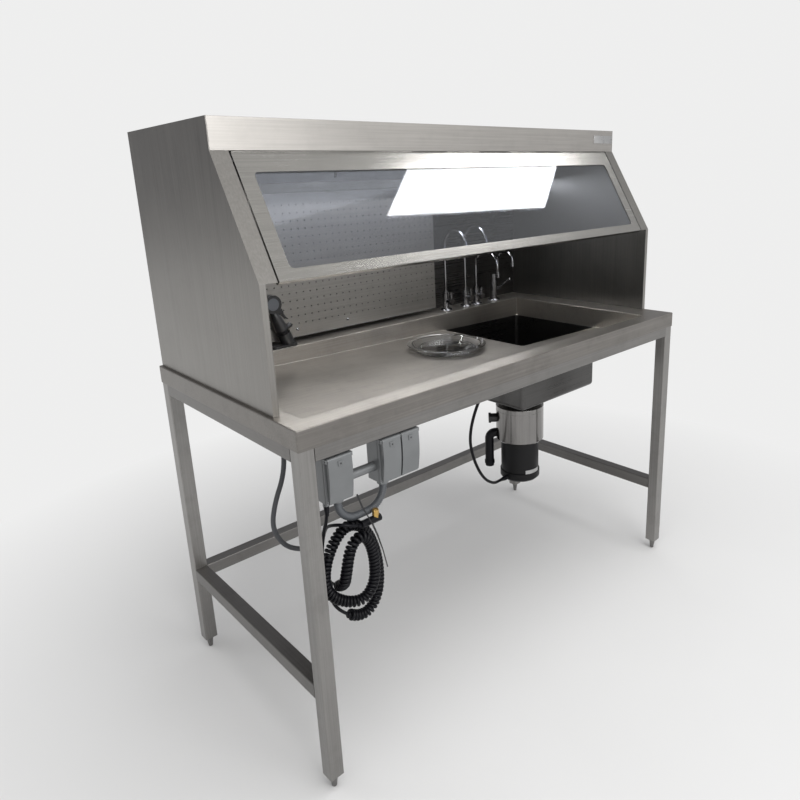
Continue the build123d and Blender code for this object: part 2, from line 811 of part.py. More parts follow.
# Squeeze lever of the spray, turning on the pin between the two ears
lever_side = Plane(
    spray_axis.from_local_coords(Vector(lever_pivot[0], 0, lever_pivot[2])),
    x_dir=spray_axis.x_dir,
    z_dir=-spray_axis.y_dir,
)
with BuildPart() as spray_lever:
    with BuildSketch(lever_side):
        with BuildLine():
            Polyline(
                (-1, 4),
                (-4.5, -3),
                (3, -26),
                (8, -34),
                (12, -34),
                (7, -24),
                (5, 2),
                close=True,
            )
        make_face()
        Circle(5)
    extrude(amount=6, both=True)
    with BuildSketch(lever_side):
        Circle(2 + running_gap)
    extrude(amount=7, both=True, mode=Mode.SUBTRACT)
write(spray_lever.part, "spray_lever")

# Disposer: drain collar in the bowl, steel grinding chamber, motor, waste elbow
body_wall = ring_radius - chamber_radius
throat = 38.0
chamber_floor = motor_top + 7
plate_z = ring_height - 80
drain = Plane((sink_x, sink_y, 0), x_dir=(1, 0, 0), z_dir=(0, -1, 0))
axis_line = Axis((sink_x, sink_y, 0), (0, 0, 1))
sink_top = sink_floor_height + sheet
with BuildPart() as disposer_mount:
    with BuildSketch(drain):
        with BuildLine():
            Polyline(
                (throat, ring_height),
                (throat, sink_top + 1),
                (throat + 2, sink_top + 3),
                (drain_radius + 11, sink_top + 1.5),
                (drain_radius + 11, sink_top),
                (drain_radius - seat_gap, sink_top),
                (drain_radius - seat_gap, sink_floor_height - 2),
                (drain_radius + 13, sink_floor_height - 2),
                (drain_radius + 13, sink_floor_height - 14),
                (drain_radius + 3, sink_floor_height - 14),
                (drain_radius + 3, ring_height + 42),
                (ring_radius - 4, ring_height + 19),
                (ring_radius, ring_height + 16),
                (ring_radius, ring_height),
                close=True,
            )
        make_face()
    revolve(axis=axis_line)
write(disposer_mount.part, "disposer_mount")

outlet_z = motor_top + 24
inlet_z = ring_height - 38
fitting_x = cos(radians(fitting_angle))
fitting_y = sin(radians(fitting_angle))
outlet_plane = Plane(
    (sink_x, sink_y, outlet_z), x_dir=(-fitting_y, fitting_x, 0), z_dir=(fitting_x, fitting_y, 0)
)
inlet_plane = Plane(
    (sink_x, sink_y, inlet_z), x_dir=(-fitting_y, fitting_x, 0), z_dir=(fitting_x, fitting_y, 0)
)
pipe_radius = 17.0
pipe_bore = 14.0
with BuildPart() as disposer_body:
    with BuildSketch(drain):
        with BuildLine():
            Polyline(
                (throat, ring_height),
                (ring_radius, ring_height),
                (ring_radius, motor_top + 6),
                (ring_radius - 6, motor_top),
                (6 + running_gap, motor_top),
                (6 + running_gap, chamber_floor),
                (chamber_radius, chamber_floor),
                (chamber_radius, ring_height - 6),
                (throat, ring_height - 6),
                close=True,
            )
        make_face()
    revolve(axis=axis_line)
    with BuildSketch(inlet_plane.offset(ring_radius - 8)):
        Circle(17)
    extrude(amount=34)
    with BuildSketch(inlet_plane.offset(ring_radius + 20)):
        Circle(20)
        Rectangle(46, 9)
    extrude(amount=9)
    with BuildSketch(outlet_plane.offset(chamber_radius - 10)):
        Circle(pipe_bore)
    extrude(amount=60, mode=Mode.SUBTRACT)
write(disposer_body.part, "disposer_body")

gland_z = motor_bottom + 15
with BuildPart() as disposer_motor:
    with BuildSketch(drain):
        with BuildLine():
            Polyline(
                (0, motor_top),
                (motor_radius, motor_top),
                (motor_radius, motor_bottom + 34),
                (motor_radius + 4, motor_bottom + 32),
                (motor_radius + 4, motor_bottom + 8),
                (motor_radius - 4, motor_bottom),
                (24, motor_bottom),
                (24, motor_bottom - 9),
                (0, motor_bottom - 9),
                close=True,
            )
        make_face()
    revolve(axis=axis_line)
    with BuildSketch(Plane((sink_x - motor_radius, sink_y, gland_z), x_dir=(0, 1, 0), z_dir=(-1, 0, 0))):
        Circle(9)
    extrude(amount=13)
write(disposer_motor.part, "disposer_motor")

# Grinding plate on its shaft
with BuildPart() as disposer_turntable:
    with BuildSketch(Plane((sink_x, sink_y, plate_z))):
        Circle(chamber_radius - 3)
    extrude(amount=4)
    with BuildSketch(Plane((sink_x, sink_y, motor_top + seat_gap))):
        Circle(6)
    extrude(amount=plate_z - motor_top)
    with BuildSketch(Plane((sink_x, sink_y, chamber_floor + 1))):
        Circle(13)
    extrude(amount=plate_z - chamber_floor - 1)
    with BuildSketch(Plane((sink_x, sink_y, plate_z + 4))):
        with PolarLocations(chamber_radius - 20, 2):
            Rectangle(26, 12)
    extrude(amount=9)
write(disposer_turntable.part, "disposer_turntable")

# Waste elbow: out of the chamber wall, then down
elbow_reach = 119.0
elbow_bend = 24.0
elbow_end = 320.0
elbow_start = Vector(sink_x + ring_radius * fitting_x, sink_y + ring_radius * fitting_y, outlet_z)


def beside_drain(reach, z):
    """Point at a distance from the drain's axis, on the fittings' side."""
    return (sink_x + reach * fitting_x, sink_y + reach * fitting_y, z)


with BuildPart() as disposer_elbow:
    with BuildLine():
        Line(beside_drain(ring_radius, outlet_z), beside_drain(elbow_reach - elbow_bend, outlet_z))
        ThreePointArc(
            beside_drain(elbow_reach - elbow_bend, outlet_z),
            beside_drain(
                elbow_reach - elbow_bend * (1 - sin(radians(45))),
                outlet_z - elbow_bend * (1 - cos(radians(45))),
            ),
            beside_drain(elbow_reach, outlet_z - elbow_bend),
        )
        Line(beside_drain(elbow_reach, outlet_z - elbow_bend), beside_drain(elbow_reach, elbow_end))
    with BuildSketch(outlet_plane.offset(ring_radius)):
        Circle(pipe_radius)
        Circle(pipe_bore, mode=Mode.SUBTRACT)
    sweep()
    with BuildSketch(Plane(beside_drain(elbow_reach, elbow_end + 10))):
        Circle(pipe_radius + 2.5)
        Circle(pipe_radius - 1, mode=Mode.SUBTRACT)
    extrude(amount=12)
write(disposer_elbow.part, "disposer_elbow")

# Outlet boxes hung under the front apron, joined by a rigid nipple
box_back = front + plate_setback + plate_thickness + box_depth
box_front = front + plate_setback + plate_thickness
box_mid = (box_back + box_front) / 2
box_bottom = apron_bottom - box_height
plate_widths = [gang_width * n + plate_margin for n in gang_count]
lead_x = box_x[0] - 22
flex_left_x = box_x[0] + 8
flex_right_x = box_x[1] - 34
flex_y = box_mid - 3
with BuildPart() as outlet_boxes:
    for x, wide in zip(box_x, plate_widths):
        with BuildSketch(Plane((x, box_mid, box_bottom))):
            RectangleRounded(wide - 2, box_depth, 5)
        extrude(amount=box_height)
    with BuildSketch(Plane((box_x[0], box_mid, box_bottom + 36), x_dir=(0, 1, 0), z_dir=(1, 0, 0))):
        Circle(11.5)
    extrude(amount=box_x[1] - box_x[0])
    with BuildSketch(Plane.XY.offset(box_bottom)):
        with Locations((flex_left_x, flex_y), (flex_right_x, flex_y)):
            Circle(14)
        with Locations((lead_x, flex_y)):
            Circle(8)
    extrude(amount=-12)
write(outlet_boxes.part, "outlet_boxes")

# Cover plates with a raised outlet face at each gang and ears for the lids' pins
ear = 3.5
lid_pivot_y = front + plate_setback - 6
lid_pivot_z = apron_bottom - 10
lid_pin = 2.0
lid_round = 5.7
plate_top = apron_bottom - 3
plate_bottom = plate_top - plate_height


def lid_width(wide, count):
    """Width of one lid on a plate that carries this many."""
    return (wide - (count + 1) * ear - 2 * count * lid_gap) / count


with BuildPart() as outlet_covers:
    for x, wide, count in zip(box_x, plate_widths, gang_count):
        pitch = lid_width(wide, count) + ear + 2 * lid_gap
        with BuildSketch(
            Plane(
                (x, front + plate_setback, plate_bottom + plate_height / 2),
                x_dir=(1, 0, 0),
                z_dir=(0, -1, 0),
            )
        ):
            RectangleRounded(wide, plate_height, 4)
        extrude(amount=-plate_thickness)
        for k in range(count):
            gang_mid = x + (k - (count - 1) / 2) * pitch
            with BuildSketch(
                Plane(
                    (gang_mid, front + plate_setback, plate_bottom + plate_height / 2 - 4),
                    x_dir=(1, 0, 0),
                    z_dir=(0, -1, 0),
                )
            ):
                RectangleRounded(34, 68, 8)
            extrude(amount=1.5)
        for k in range(count + 1):
            ear_x = x + (k - count / 2) * pitch
            with Locations((ear_x, front + plate_setback, lid_pivot_z)):
                Box(ear, 9.5, 9, align=(Align.CENTER, Align.MAX, Align.CENTER))
    with BuildSketch(Plane((box_x[0] - 100, lid_pivot_y, lid_pivot_z), x_dir=(0, 1, 0), z_dir=(1, 0, 0))):
        Circle(lid_pin + running_gap)
    extrude(amount=400, mode=Mode.SUBTRACT)
write(outlet_covers.part, "outlet_covers")

# Flip lids with a bowed side profile, hollow towards the plate
lid_names = (("lid_left",), ("lid_right_a", "lid_right_b"))
lid_back = front + plate_setback - seat_gap
for x, wide, count, names in zip(box_x, plate_widths, gang_count, lid_names):
    pitch = lid_width(wide, count) + ear + 2 * lid_gap
    half = lid_width(wide, count) / 2
    for k, name in enumerate(names):
        mid = x + (k - (count - 1) / 2) * pitch
        with BuildPart() as lid:
            with BuildSketch(Plane.YZ.offset(mid)):
                with BuildLine():
                    ThreePointArc(
                        (lid_pivot_y - lid_round, lid_pivot_z),
                        (front + 0.8, lid_pivot_z - 42),
                        (front + 8, plate_bottom + 5),
                    )
                    Polyline(
                        (front + 8, plate_bottom + 5),
                        (lid_back, plate_bottom + 3),
                        (lid_back, lid_pivot_z),
                        (lid_pivot_y - lid_round, lid_pivot_z),
                    )
                make_face()
                with Locations((lid_pivot_y, lid_pivot_z)):
                    Circle(lid_round)
            extrude(amount=half, both=True)
            with BuildSketch(Plane.YZ.offset(mid)):
                with BuildLine():
                    ThreePointArc(
                        (lid_pivot_y - 2, lid_pivot_z - 9),
                        (front + 3, lid_pivot_z - 44),
                        (front + 9.5, plate_bottom + 10),
                    )
                    Polyline(
                        (front + 9.5, plate_bottom + 10),
                        (lid_back + 1, plate_bottom + 10),
                        (lid_back + 1, lid_pivot_z - 9),
                        (lid_pivot_y - 2, lid_pivot_z - 9),
                    )
                make_face()
            extrude(amount=half - 2, both=True, mode=Mode.SUBTRACT)
            with BuildSketch(Plane((mid, lid_pivot_y, lid_pivot_z), x_dir=(0, 1, 0), z_dir=(1, 0, 0))):
                Circle(lid_pin)
            extrude(amount=half + lid_gap + 1.5, both=True)
        write(lid.part, name)

# Flexible conduit between the two boxes, held at both ends
flex_radius = 9.5
flex_top = box_bottom - 12
flex_low = flex_top - 56
flex_bend = 50.0
with BuildPart() as flex_conduit:
    with BuildLine():
        FilletPolyline(
            (flex_right_x, flex_y, flex_top),
            (flex_right_x, flex_y, flex_low),
            (flex_left_x, flex_y, flex_low),
            (flex_left_x, flex_y, flex_top),
            radius=flex_bend,
        )
    with BuildSketch(Plane((flex_right_x, flex_y, flex_top))):
        Circle(flex_radius)
    sweep()
write(flex_conduit.part, "flex_conduit")


def turn_radii(points):
    """Arc radius at each turn: 0.45 of the shorter run over the tangent of half the turn."""
    radii = []
    for a, b, c in zip(points, points[1:], points[2:]):
        run_in = Vector(*b) - Vector(*a)
        run_out = Vector(*c) - Vector(*b)
        half_turn = radians(run_in.get_angle(run_out)) / 2
        radii.append(0.45 * min(run_in.length, run_out.length) / tan(half_turn))
    return radii


def cord(points, radius, name):
    """A round cord along a route of straight runs and tangent arcs."""
    radii = turn_radii(points)
    with BuildPart() as tube_part:
        with BuildLine() as route:
            FilletPolyline(*points, radius=radii)
        with BuildSketch(Plane(origin=points[0], z_dir=Vector(*points[1]) - Vector(*points[0]))):
            Circle(radius)
        sweep(transition=Transition.ROUND)
    length = sum(edge.length for edge in route.edges())
    expected = 3.14159265 * radius * radius * length
    print(name, "length", round(length, 1), "volume ratio", round(tube_part.part.volume / expected, 4))
    print(name, "radii", [round(r, 1) for r in radii])
    write(tube_part.part, name)


# Supply cable: from the left apron down behind the front leg, up to the left box
supply_route = [
    (-leg_x + tube / 2, front + 200, apron_mid - 6),
    (-696, front + 200, apron_mid - 6),
    (-688, front + 200, 822),
    (-696, front + 200, 752),
    (-727, front + 200, 690),
    (-742, front + 198, 630),
    (-718, front + 194, 575),
    (-682, front + 184, 553),
    (-664, front + 152, 566),
    (-676, front + 118, 610),
    (-682, front + 106, 670),
    (-686, front + 102, 730),
    (-684, front + 92, 775),
    (-684, box_back, 775),
]
cord(supply_route, 6.0, "supply_cable")

# Disposer cable: from the motor's gland, slack under the pan, to the front apron
disposer_route = [
    (sink_x - motor_radius - 13, sink_y, gland_z),
    (334, sink_y, gland_z),
    (279, sink_y - 15, 299),
    (210, front + 421, 351),
    (161, front + 420, 445),
    (143, front + 420, 538),
    (179, front + 412, 652),
    (196, front + 360, 748),
    (190, front + 270, 815),
    (172, front + 175, 850),
    (155, front + 112, 864),
    (150, front + 76, apron_mid - 10),
    (150, -leg_y + tube / 2, apron_mid - 10),
]
cord(disposer_route, 5.5, "disposer_cable")

# Curly cord: a smooth lead from the left box, the coil in two loops, and a smooth tail
# that comes back up behind the coil to the connector
lead_route = [
    (lead_x, flex_y, flex_top),
    (lead_x, flex_y, 696),
    (-686, front + 60, 650),
    (-690, front + 70, 592),
    (-689, front + 68, 530),
    (-686, front + 59, 482),
    (-671, front + 45, 443.46),
    (-648, front + 45, 424),
]
cord(lead_route, 4.0, "curly_lead")

coil_radius = 14.0
coil_route = [
    (-648, front + 45, 424),
    (-622, front + 45, 402),
    (-582, front + 45, 401),
    (-554, front + 45, 440),
    (-548, front + 45, 510),
    (-562, front + 45, 585),
    (-592, front + 45, 640),
    (-638, front + 45, 655),
    (-682, front + 45, 612),
    (-704, front + 45, 550),
    (-696, front + 42, 500),
    (-655, front + 34, 464),
    (-612, front + 22, 456),
    (-584, front + 16, 492),
    (-580, front + 15, 550),
    (-590, front + 15, 605),
    (-609, front + 15, 631),
    (-634, front + 15, 627),
    (-650, front + 16, 598),
    (-660, front + 17, 552),
    (-663, front + 26, 515),
    (-660, front + 62, 500),
]
cord(coil_route, coil_radius, "curly_coil")

connector_z = 659
connector_y = front + 16
tail_route = [
    (-660, front + 62, 500),
    (-656.7, front + 101.6, 483.5),
    (-655, front + 128, 512),
    (-655, front + 126, 560),
    (-658, front + 108, 612),
    (-667, front + 76, 652),
    (-668, front + 44, 669),
    (-656, front + 22, 673),
    (-638, front + 15, 666),
    (-620, connector_y, connector_z),
]
cord(tail_route, 4.0, "curly_tail")

with BuildPart() as curly_connector:
    with BuildSketch(Plane(origin=tail_route[-1], z_dir=Vector(*tail_route[-1]) - Vector(*tail_route[-2]))):
        Circle(5.5)
    extrude(amount=14)
    with BuildSketch(Plane((-610, connector_y, connector_z - 2), x_dir=(0, 1, 0), z_dir=(1, 0, 0))):
        Circle(9)
    extrude(amount=54)
    with BuildSketch(Plane((-568, connector_y, connector_z))):
        Circle(7)
    extrude(amount=22)
write(curly_connector.part, "curly_connector")

# Round tray that rests in the pan
pan_slope = Plane(
    (dish_x, front + dish_offset, pan_height(dish_x)),
    x_dir=(1, 0, -pan_fall),
    z_dir=(pan_fall, 0, 1),
)
with BuildPart() as specimen_dish:
    with BuildSketch(Plane(pan_slope.origin, x_dir=pan_slope.x_dir, z_dir=-pan_slope.y_dir)):
        with BuildLine():
            Polyline(
                (0, 0),
                (dish_radius - 26, 0),
                (dish_radius - 15, dish_height - dish_wall),
                (dish_radius, dish_height - dish_wall),
                (dish_radius, dish_height),
                (dish_radius - 17.5, dish_height),
                (dish_radius - 28, dish_wall),
                (dish_radius - 42, dish_wall),
                (dish_radius - 42, 12),
                (dish_radius - 45, 12),
                (dish_radius - 45, dish_wall),
                (0, dish_wall),
                close=True,
            )
        make_face()
    revolve(axis=Axis(pan_slope.origin, pan_slope.z_dir))
write(specimen_dish.part, "specimen_dish")
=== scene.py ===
import math

import bmesh
import bpy
from mathutils import Matrix, Vector


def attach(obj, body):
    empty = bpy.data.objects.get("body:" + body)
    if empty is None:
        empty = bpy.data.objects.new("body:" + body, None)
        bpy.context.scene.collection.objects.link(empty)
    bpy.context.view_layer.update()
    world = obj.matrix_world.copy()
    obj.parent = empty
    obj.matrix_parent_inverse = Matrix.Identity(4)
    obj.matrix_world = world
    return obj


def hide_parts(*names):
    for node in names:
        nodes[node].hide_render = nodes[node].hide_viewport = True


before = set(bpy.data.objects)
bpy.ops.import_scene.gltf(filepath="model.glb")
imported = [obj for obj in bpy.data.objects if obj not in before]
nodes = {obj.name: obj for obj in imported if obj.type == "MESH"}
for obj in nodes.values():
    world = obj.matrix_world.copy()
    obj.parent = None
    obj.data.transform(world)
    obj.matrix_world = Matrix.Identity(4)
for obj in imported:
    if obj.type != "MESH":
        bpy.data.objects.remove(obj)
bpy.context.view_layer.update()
scene = bpy.context.scene

# The pale tone of the backdrop, shared by the world and the far floor
PALE = (0.858, 0.858, 0.856, 1)


# camera: where the photograph was taken from, solved from 40 of its points
camera_data = bpy.data.cameras.new("camera")
camera = bpy.data.objects.new("camera", camera_data)
scene.collection.objects.link(camera)
scene.camera = camera
right = Vector((0.73029, -0.68229, -0.03384))
up = Vector((0.20187, 0.16821, 0.96486))
back = Vector((-0.65263, -0.71146, 0.26058))
eye = Vector((-1.3742, -1.4968, 1.4212))
camera.matrix_world = Matrix((
    (right.x, up.x, back.x, eye.x),
    (right.y, up.y, back.y, eye.y),
    (right.z, up.z, back.z, eye.z),
    (0, 0, 0, 1),
))
camera_data.sensor_width = 36
camera_data.lens = 29.378
camera_data.shift_x = -0.0559
camera_data.shift_y = -0.0560
camera_data.clip_start = 0.05
camera_data.clip_end = 60


# node helpers
def new_material(name):
    m = bpy.data.materials.new(name)
    m.use_nodes = True
    nt = m.node_tree
    nt.nodes.clear()
    out = nt.nodes.new("ShaderNodeOutputMaterial")
    bsdf = nt.nodes.new("ShaderNodeBsdfPrincipled")
    nt.links.new(bsdf.outputs[0], out.inputs["Surface"])
    return m, nt, bsdf


def mapped(nt, scale=(1, 1, 1), rotation=(0, 0, 0)):
    coord = nt.nodes.new("ShaderNodeTexCoord")
    mapping = nt.nodes.new("ShaderNodeMapping")
    mapping.inputs["Scale"].default_value = scale
    mapping.inputs["Rotation"].default_value = rotation
    nt.links.new(coord.outputs["Object"], mapping.inputs["Vector"])
    return mapping.outputs["Vector"]


def noise(nt, vector, scale, detail, rough=0.55):
    n = nt.nodes.new("ShaderNodeTexNoise")
    n.inputs["Scale"].default_value = scale
    n.inputs["Detail"].default_value = detail
    n.inputs["Roughness"].default_value = rough
    nt.links.new(vector, n.inputs["Vector"])
    return n.outputs["Fac"]


def ramp(nt, fac, stops):
    r = nt.nodes.new("ShaderNodeValToRGB")
    els = r.color_ramp.elements
    while len(els) < len(stops):
        els.new(0.5)
    for e, (pos, value) in zip(els, stops):
        e.position = pos
        if isinstance(value, (int, float)):
            value = (value, value, value)
        e.color = (*value[:3], 1)
    nt.links.new(fac, r.inputs["Fac"])
    return r.outputs["Color"]


def mix(nt, fac, a, b, blend="MIX"):
    """A colour mix. Its factor and colours are inputs 0, 6 and 7, and its result is output 2."""
    m = nt.nodes.new("ShaderNodeMix")
    m.data_type = "RGBA"
    m.blend_type = blend
    for sock, value in ((m.inputs[0], fac), (m.inputs[6], a), (m.inputs[7], b)):
        if isinstance(value, bpy.types.NodeSocket):
            nt.links.new(value, sock)
        elif isinstance(value, (int, float)):
            sock.default_value = value if sock == m.inputs[0] else (value, value, value, 1)
        else:
            sock.default_value = (*value[:3], 1)
    return m.outputs[2]


def math_node(nt, op, a, b):
    """Arithmetic on two values. MULTIPLY_ADD also adds a half, which the other operations don't read."""
    m = nt.nodes.new("ShaderNodeMath")
    m.operation = op
    m.inputs[2].default_value = 0.5
    for sock, value in ((m.inputs[0], a), (m.inputs[1], b)):
        if isinstance(value, bpy.types.NodeSocket):
            nt.links.new(value, sock)
        else:
            sock.default_value = value
    return m.outputs[0]


def bump(nt, bsdf, height, strength, distance):
    b = nt.nodes.new("ShaderNodeBump")
    b.inputs["Strength"].default_value = strength
    b.inputs["Distance"].default_value = distance
    nt.links.new(height, b.inputs["Height"])
    nt.links.new(b.outputs["Normal"], bsdf.inputs["Normal"])
    return b


def along(axis, with_grain, across):
    """A noise scale drawn out along one axis."""
    return tuple(with_grain if a == axis else across for a in "xyz")


# Brushed stainless: grain and streaks along one axis, soft smudges, stains, and a rounded look to the edges
def steel(name, color, rough, grain, smudge, grain_depth=0.10, edge_radius=0.0016):
    m, nt, bsdf = new_material(name)
    fine = noise(nt, mapped(nt, along(grain, 3, 260)), 1.0, 5, 0.6)
    streak = noise(nt, mapped(nt, along(grain, 1.2, 40)), 1.0, 3, 0.5)
    cloud = noise(nt, mapped(nt), 3.4, 5, 0.6)
    stain = noise(nt, mapped(nt), 17.0, 6, 0.7)
    lo = tuple(c * (1 - grain_depth) for c in color)
    hi = tuple(min(1, c * (1 + grain_depth)) for c in color)
    base = ramp(nt, fine, [(0.3, lo), (0.7, hi)])
    base = mix(nt, 0.5, base, ramp(nt, streak, [(0.35, 0.93), (0.65, 1.0)]), "MULTIPLY")
    base = mix(nt, smudge, base, ramp(nt, cloud, [(0.3, 0.78), (0.62, 1.0)]), "MULTIPLY")
    base = mix(nt, smudge * 0.6, base, ramp(nt, stain, [(0.36, 0.74), (0.5, 1.0)]), "MULTIPLY")
    nt.links.new(base, bsdf.inputs["Base Color"])
    bsdf.inputs["Metallic"].default_value = 1.0
    r = ramp(nt, cloud, [(0.25, rough * 0.82), (0.75, min(1, rough * 1.22))])
    r = mix(nt, 0.35, r, ramp(nt, fine, [(0.3, rough * 0.8), (0.7, min(1, rough * 1.25))]))
    nt.links.new(r, bsdf.inputs["Roughness"])
    relief = bump(nt, bsdf, fine, 0.12, 0.0005)
    edge = nt.nodes.new("ShaderNodeBevel")
    edge.samples = 4
    edge.inputs["Radius"].default_value = edge_radius
    nt.links.new(edge.outputs["Normal"], relief.inputs["Normal"])
    return m


# Plastic, rubber and paint: a cloudy colour with a fine grained surface
def plastic(name, color, rough, texture, depth, spec=0.5, metallic=0.0, wear=0.15):
    m, nt, bsdf = new_material(name)
    cloud = noise(nt, mapped(nt), 9.0, 4)
    grain = noise(nt, mapped(nt), texture, 2)
    dark = tuple(c * (1 - wear) for c in color)
    light = tuple(min(1, c * (1 + wear)) for c in color)
    nt.links.new(ramp(nt, cloud, [(0.3, dark), (0.7, light)]), bsdf.inputs["Base Color"])
    bsdf.inputs["Metallic"].default_value = metallic
    bsdf.inputs["Specular IOR Level"].default_value = spec
    gloss = ramp(nt, cloud, [(0.3, rough * 0.85), (0.7, min(1, rough * 1.15))])
    nt.links.new(gloss, bsdf.inputs["Roughness"])
    bump(nt, bsdf, grain, depth, 0.0003)
    return m


# Plated or polished metal, with a faint haze
def chrome(name, color, rough):
    m, nt, bsdf = new_material(name)
    cloud = noise(nt, mapped(nt), 30.0, 4)
    dark = tuple(c * 0.9 for c in color)
    nt.links.new(ramp(nt, cloud, [(0.3, dark), (0.7, color)]), bsdf.inputs["Base Color"])
    bsdf.inputs["Metallic"].default_value = 1.0
    nt.links.new(ramp(nt, cloud, [(0.3, rough), (0.75, rough * 2.2)]), bsdf.inputs["Roughness"])
    return m


# See-through sheet or glass, wiped along x
def clear(name, color, rough, ior, scratch):
    m, nt, bsdf = new_material(name)
    streak = noise(nt, mapped(nt, (4, 90, 90), (0, 0.12, 0)), 1.0, 5, 0.7)
    cloud = noise(nt, mapped(nt), 6.0, 5, 0.6)
    dark = tuple(c * 0.93 for c in color)
    nt.links.new(ramp(nt, cloud, [(0.3, dark), (0.7, color)]), bsdf.inputs["Base Color"])
    bsdf.inputs["Transmission Weight"].default_value = 1.0
    bsdf.inputs["IOR"].default_value = ior
    gloss = ramp(nt, streak, [(0.45, rough), (0.75, rough + scratch)])
    nt.links.new(gloss, bsdf.inputs["Roughness"])
    bump(nt, bsdf, streak, 0.04, 0.0004)
    return m


# Colours are linear, and the numbers after them come in the order of the functions above
MAT = {
    # Painted light and shade: the frame's legs and rails are one steel in three tones by how light falls on
    # them, the upright legs lightest, the rails along x darker, the side rails along y darkest
    "frame_v": steel("frame_steel_upright_lit", (0.30, 0.292, 0.282), 0.34, "z", 0.5),
    "frame_x": steel("frame_steel_x_shaded", (0.24, 0.233, 0.225), 0.36, "x", 0.5),
    "frame_y": steel("frame_steel_y_shaded", (0.20, 0.193, 0.186), 0.36, "y", 0.5),
    "top": steel("worktop_steel", (0.365, 0.344, 0.318), 0.37, "x", 0.60, 0.12, 0.003),
    # Painted shade: the skirt is the worktop's steel made darker for its upright faces
    "skirt": steel("skirt_steel_painted_shade", (0.235, 0.222, 0.208), 0.36, "x", 0.60, 0.14, 0.003),
    "side": steel("hood_side_steel", (0.290, 0.280, 0.265), 0.38, "z", 0.22, 0.10),
    # Painted light: the header and roof are the hood sides' steel made lighter, as more light falls on them
    # than on the sides
    "header": steel("hood_header_steel_lit", (0.45, 0.432, 0.41), 0.38, "x", 0.25, 0.10),
    "visor": steel("visor_steel", (0.33, 0.322, 0.305), 0.24, "x", 0.25, 0.10),
    "plenum": steel("plenum_steel", (0.27, 0.26, 0.243), 0.40, "x", 0.35, 0.10),
    # Painted shade: a dark copy of the hood's steel for its inner faces and the light housing, where little
    # light falls
    "inner": steel("inner_steel_painted_shade", (0.12, 0.118, 0.114), 0.36, "z", 0.35),
    # Painted shade: a dark copy of the steel for the sink bowl and the face behind the perforated panel,
    # hollows that little light reaches
    "bowl": steel("bowl_steel", (0.10, 0.098, 0.096), 0.28, "x", 0.4),
    "disposer": steel("disposer_steel", (0.27, 0.262, 0.255), 0.16, "z", 0.5, 0.2),
    "foot": steel("foot_steel", (0.22, 0.215, 0.21), 0.30, "z", 0.3),
    "chrome": chrome("chrome", (0.27, 0.27, 0.28), 0.12),
    "black": plastic("black_plastic", (0.012, 0.012, 0.013), 0.32, 500, 0.12),
    "black_paint": plastic("black_enamel", (0.0035, 0.0035, 0.004), 0.42, 300, 0.10, 0.25),
    "grey_plastic": plastic("grey_spray_face", (0.075, 0.08, 0.09), 0.45, 900, 0.3),
    "rubber": plastic("black_rubber", (0.0030, 0.0030, 0.0045), 0.36, 700, 0.2, 0.18),
    "grey_rubber": plastic("grey_rubber", (0.045, 0.047, 0.052), 0.5, 700, 0.2),
    "conduit": plastic("grey_conduit", (0.06, 0.065, 0.072), 0.45, 700, 0.2),
    "cast": plastic("cast_grey", (0.158, 0.164, 0.168), 0.36, 420, 0.35, 0.5, 0.45, 0.10),
    "brass": chrome("brass", (0.62, 0.40, 0.13), 0.22),
    "lens": plastic("opal_lens", (0.34, 0.34, 0.33), 0.25, 200, 0.05),
    "glass": clear("visor_clear", (0.63, 0.665, 0.74), 0.004, 1.5, 0.03),
    "dish": clear("dish_clear", (0.95, 0.96, 0.97), 0.01, 1.49, 0.03),
    "bare_plate": chrome("bare_plate", (0.52, 0.52, 0.52), 0.22),
    "tie": plastic("zip_tie", (0.008, 0.008, 0.009), 0.35, 300, 0.1),
}


def finish_node(name, mat):
    o = nodes[name]
    o.data.materials.clear()
    o.data.materials.append(MAT[mat])


for name in nodes:
    if name.startswith("leg_"):
        finish_node(name, "frame_v")
    elif name in ("apron_front", "apron_rear", "stretcher_rear"):
        finish_node(name, "frame_x")
    elif name.startswith(("apron_", "stretcher_")):
        finish_node(name, "frame_y")
    elif name.startswith("foot_"):
        finish_node(name, "foot")
    elif name.startswith(("tap_", "mixer_")):
        finish_node(name, "chrome")
    elif name.startswith(("lid_", "outlet_")):
        finish_node(name, "cast")
for name, mat in {
    "worktop": "top", "sink_bowl": "bowl", "hood_side_left": "side", "hood_side_right": "side",
    "hood_roof": "header", "hood_back": "side", "plenum_panel": "plenum", "light_housing": "inner",
    "light_lens": "lens", "light_switch": "black", "visor_frame": "visor", "visor_glass": "glass",
    "visor_hinge": "visor", "spray_holder": "black", "spray_handle": "black", "spray_face": "grey_plastic",
    "spray_lever": "black", "disposer_mount": "disposer", "disposer_body": "disposer",
    "disposer_motor": "black_paint", "disposer_elbow": "rubber", "disposer_turntable": "disposer",
    "flex_conduit": "conduit", "supply_cable": "grey_rubber", "disposer_cable": "rubber",
    "curly_lead": "rubber", "curly_coil": "rubber", "curly_tail": "rubber", "curly_connector": "rubber",
    "specimen_dish": "dish",
}.items():
    finish_node(name, mat)


def smooth_shade(mesh, angle):
    """Smooth shading, with the edges kept sharp that turn by more than the angle, in radians."""
    for p in mesh.polygons:
        p.use_smooth = True
    mesh.set_sharp_from_angle(angle=angle)


for o in nodes.values():
    smooth_shade(o.data, 0.5)


def finish_faces(name, mat, chosen):
    """A second finish for the faces whose centre and normal, in metres of the frame, are chosen."""
    o = nodes[name]
    o.data.materials.append(MAT[mat])
    index = len(o.data.materials) - 1
    place = o.matrix_world
    for p in o.data.polygons:
        if chosen(place @ p.center, place.to_3x3() @ p.normal):
            p.material_index = index


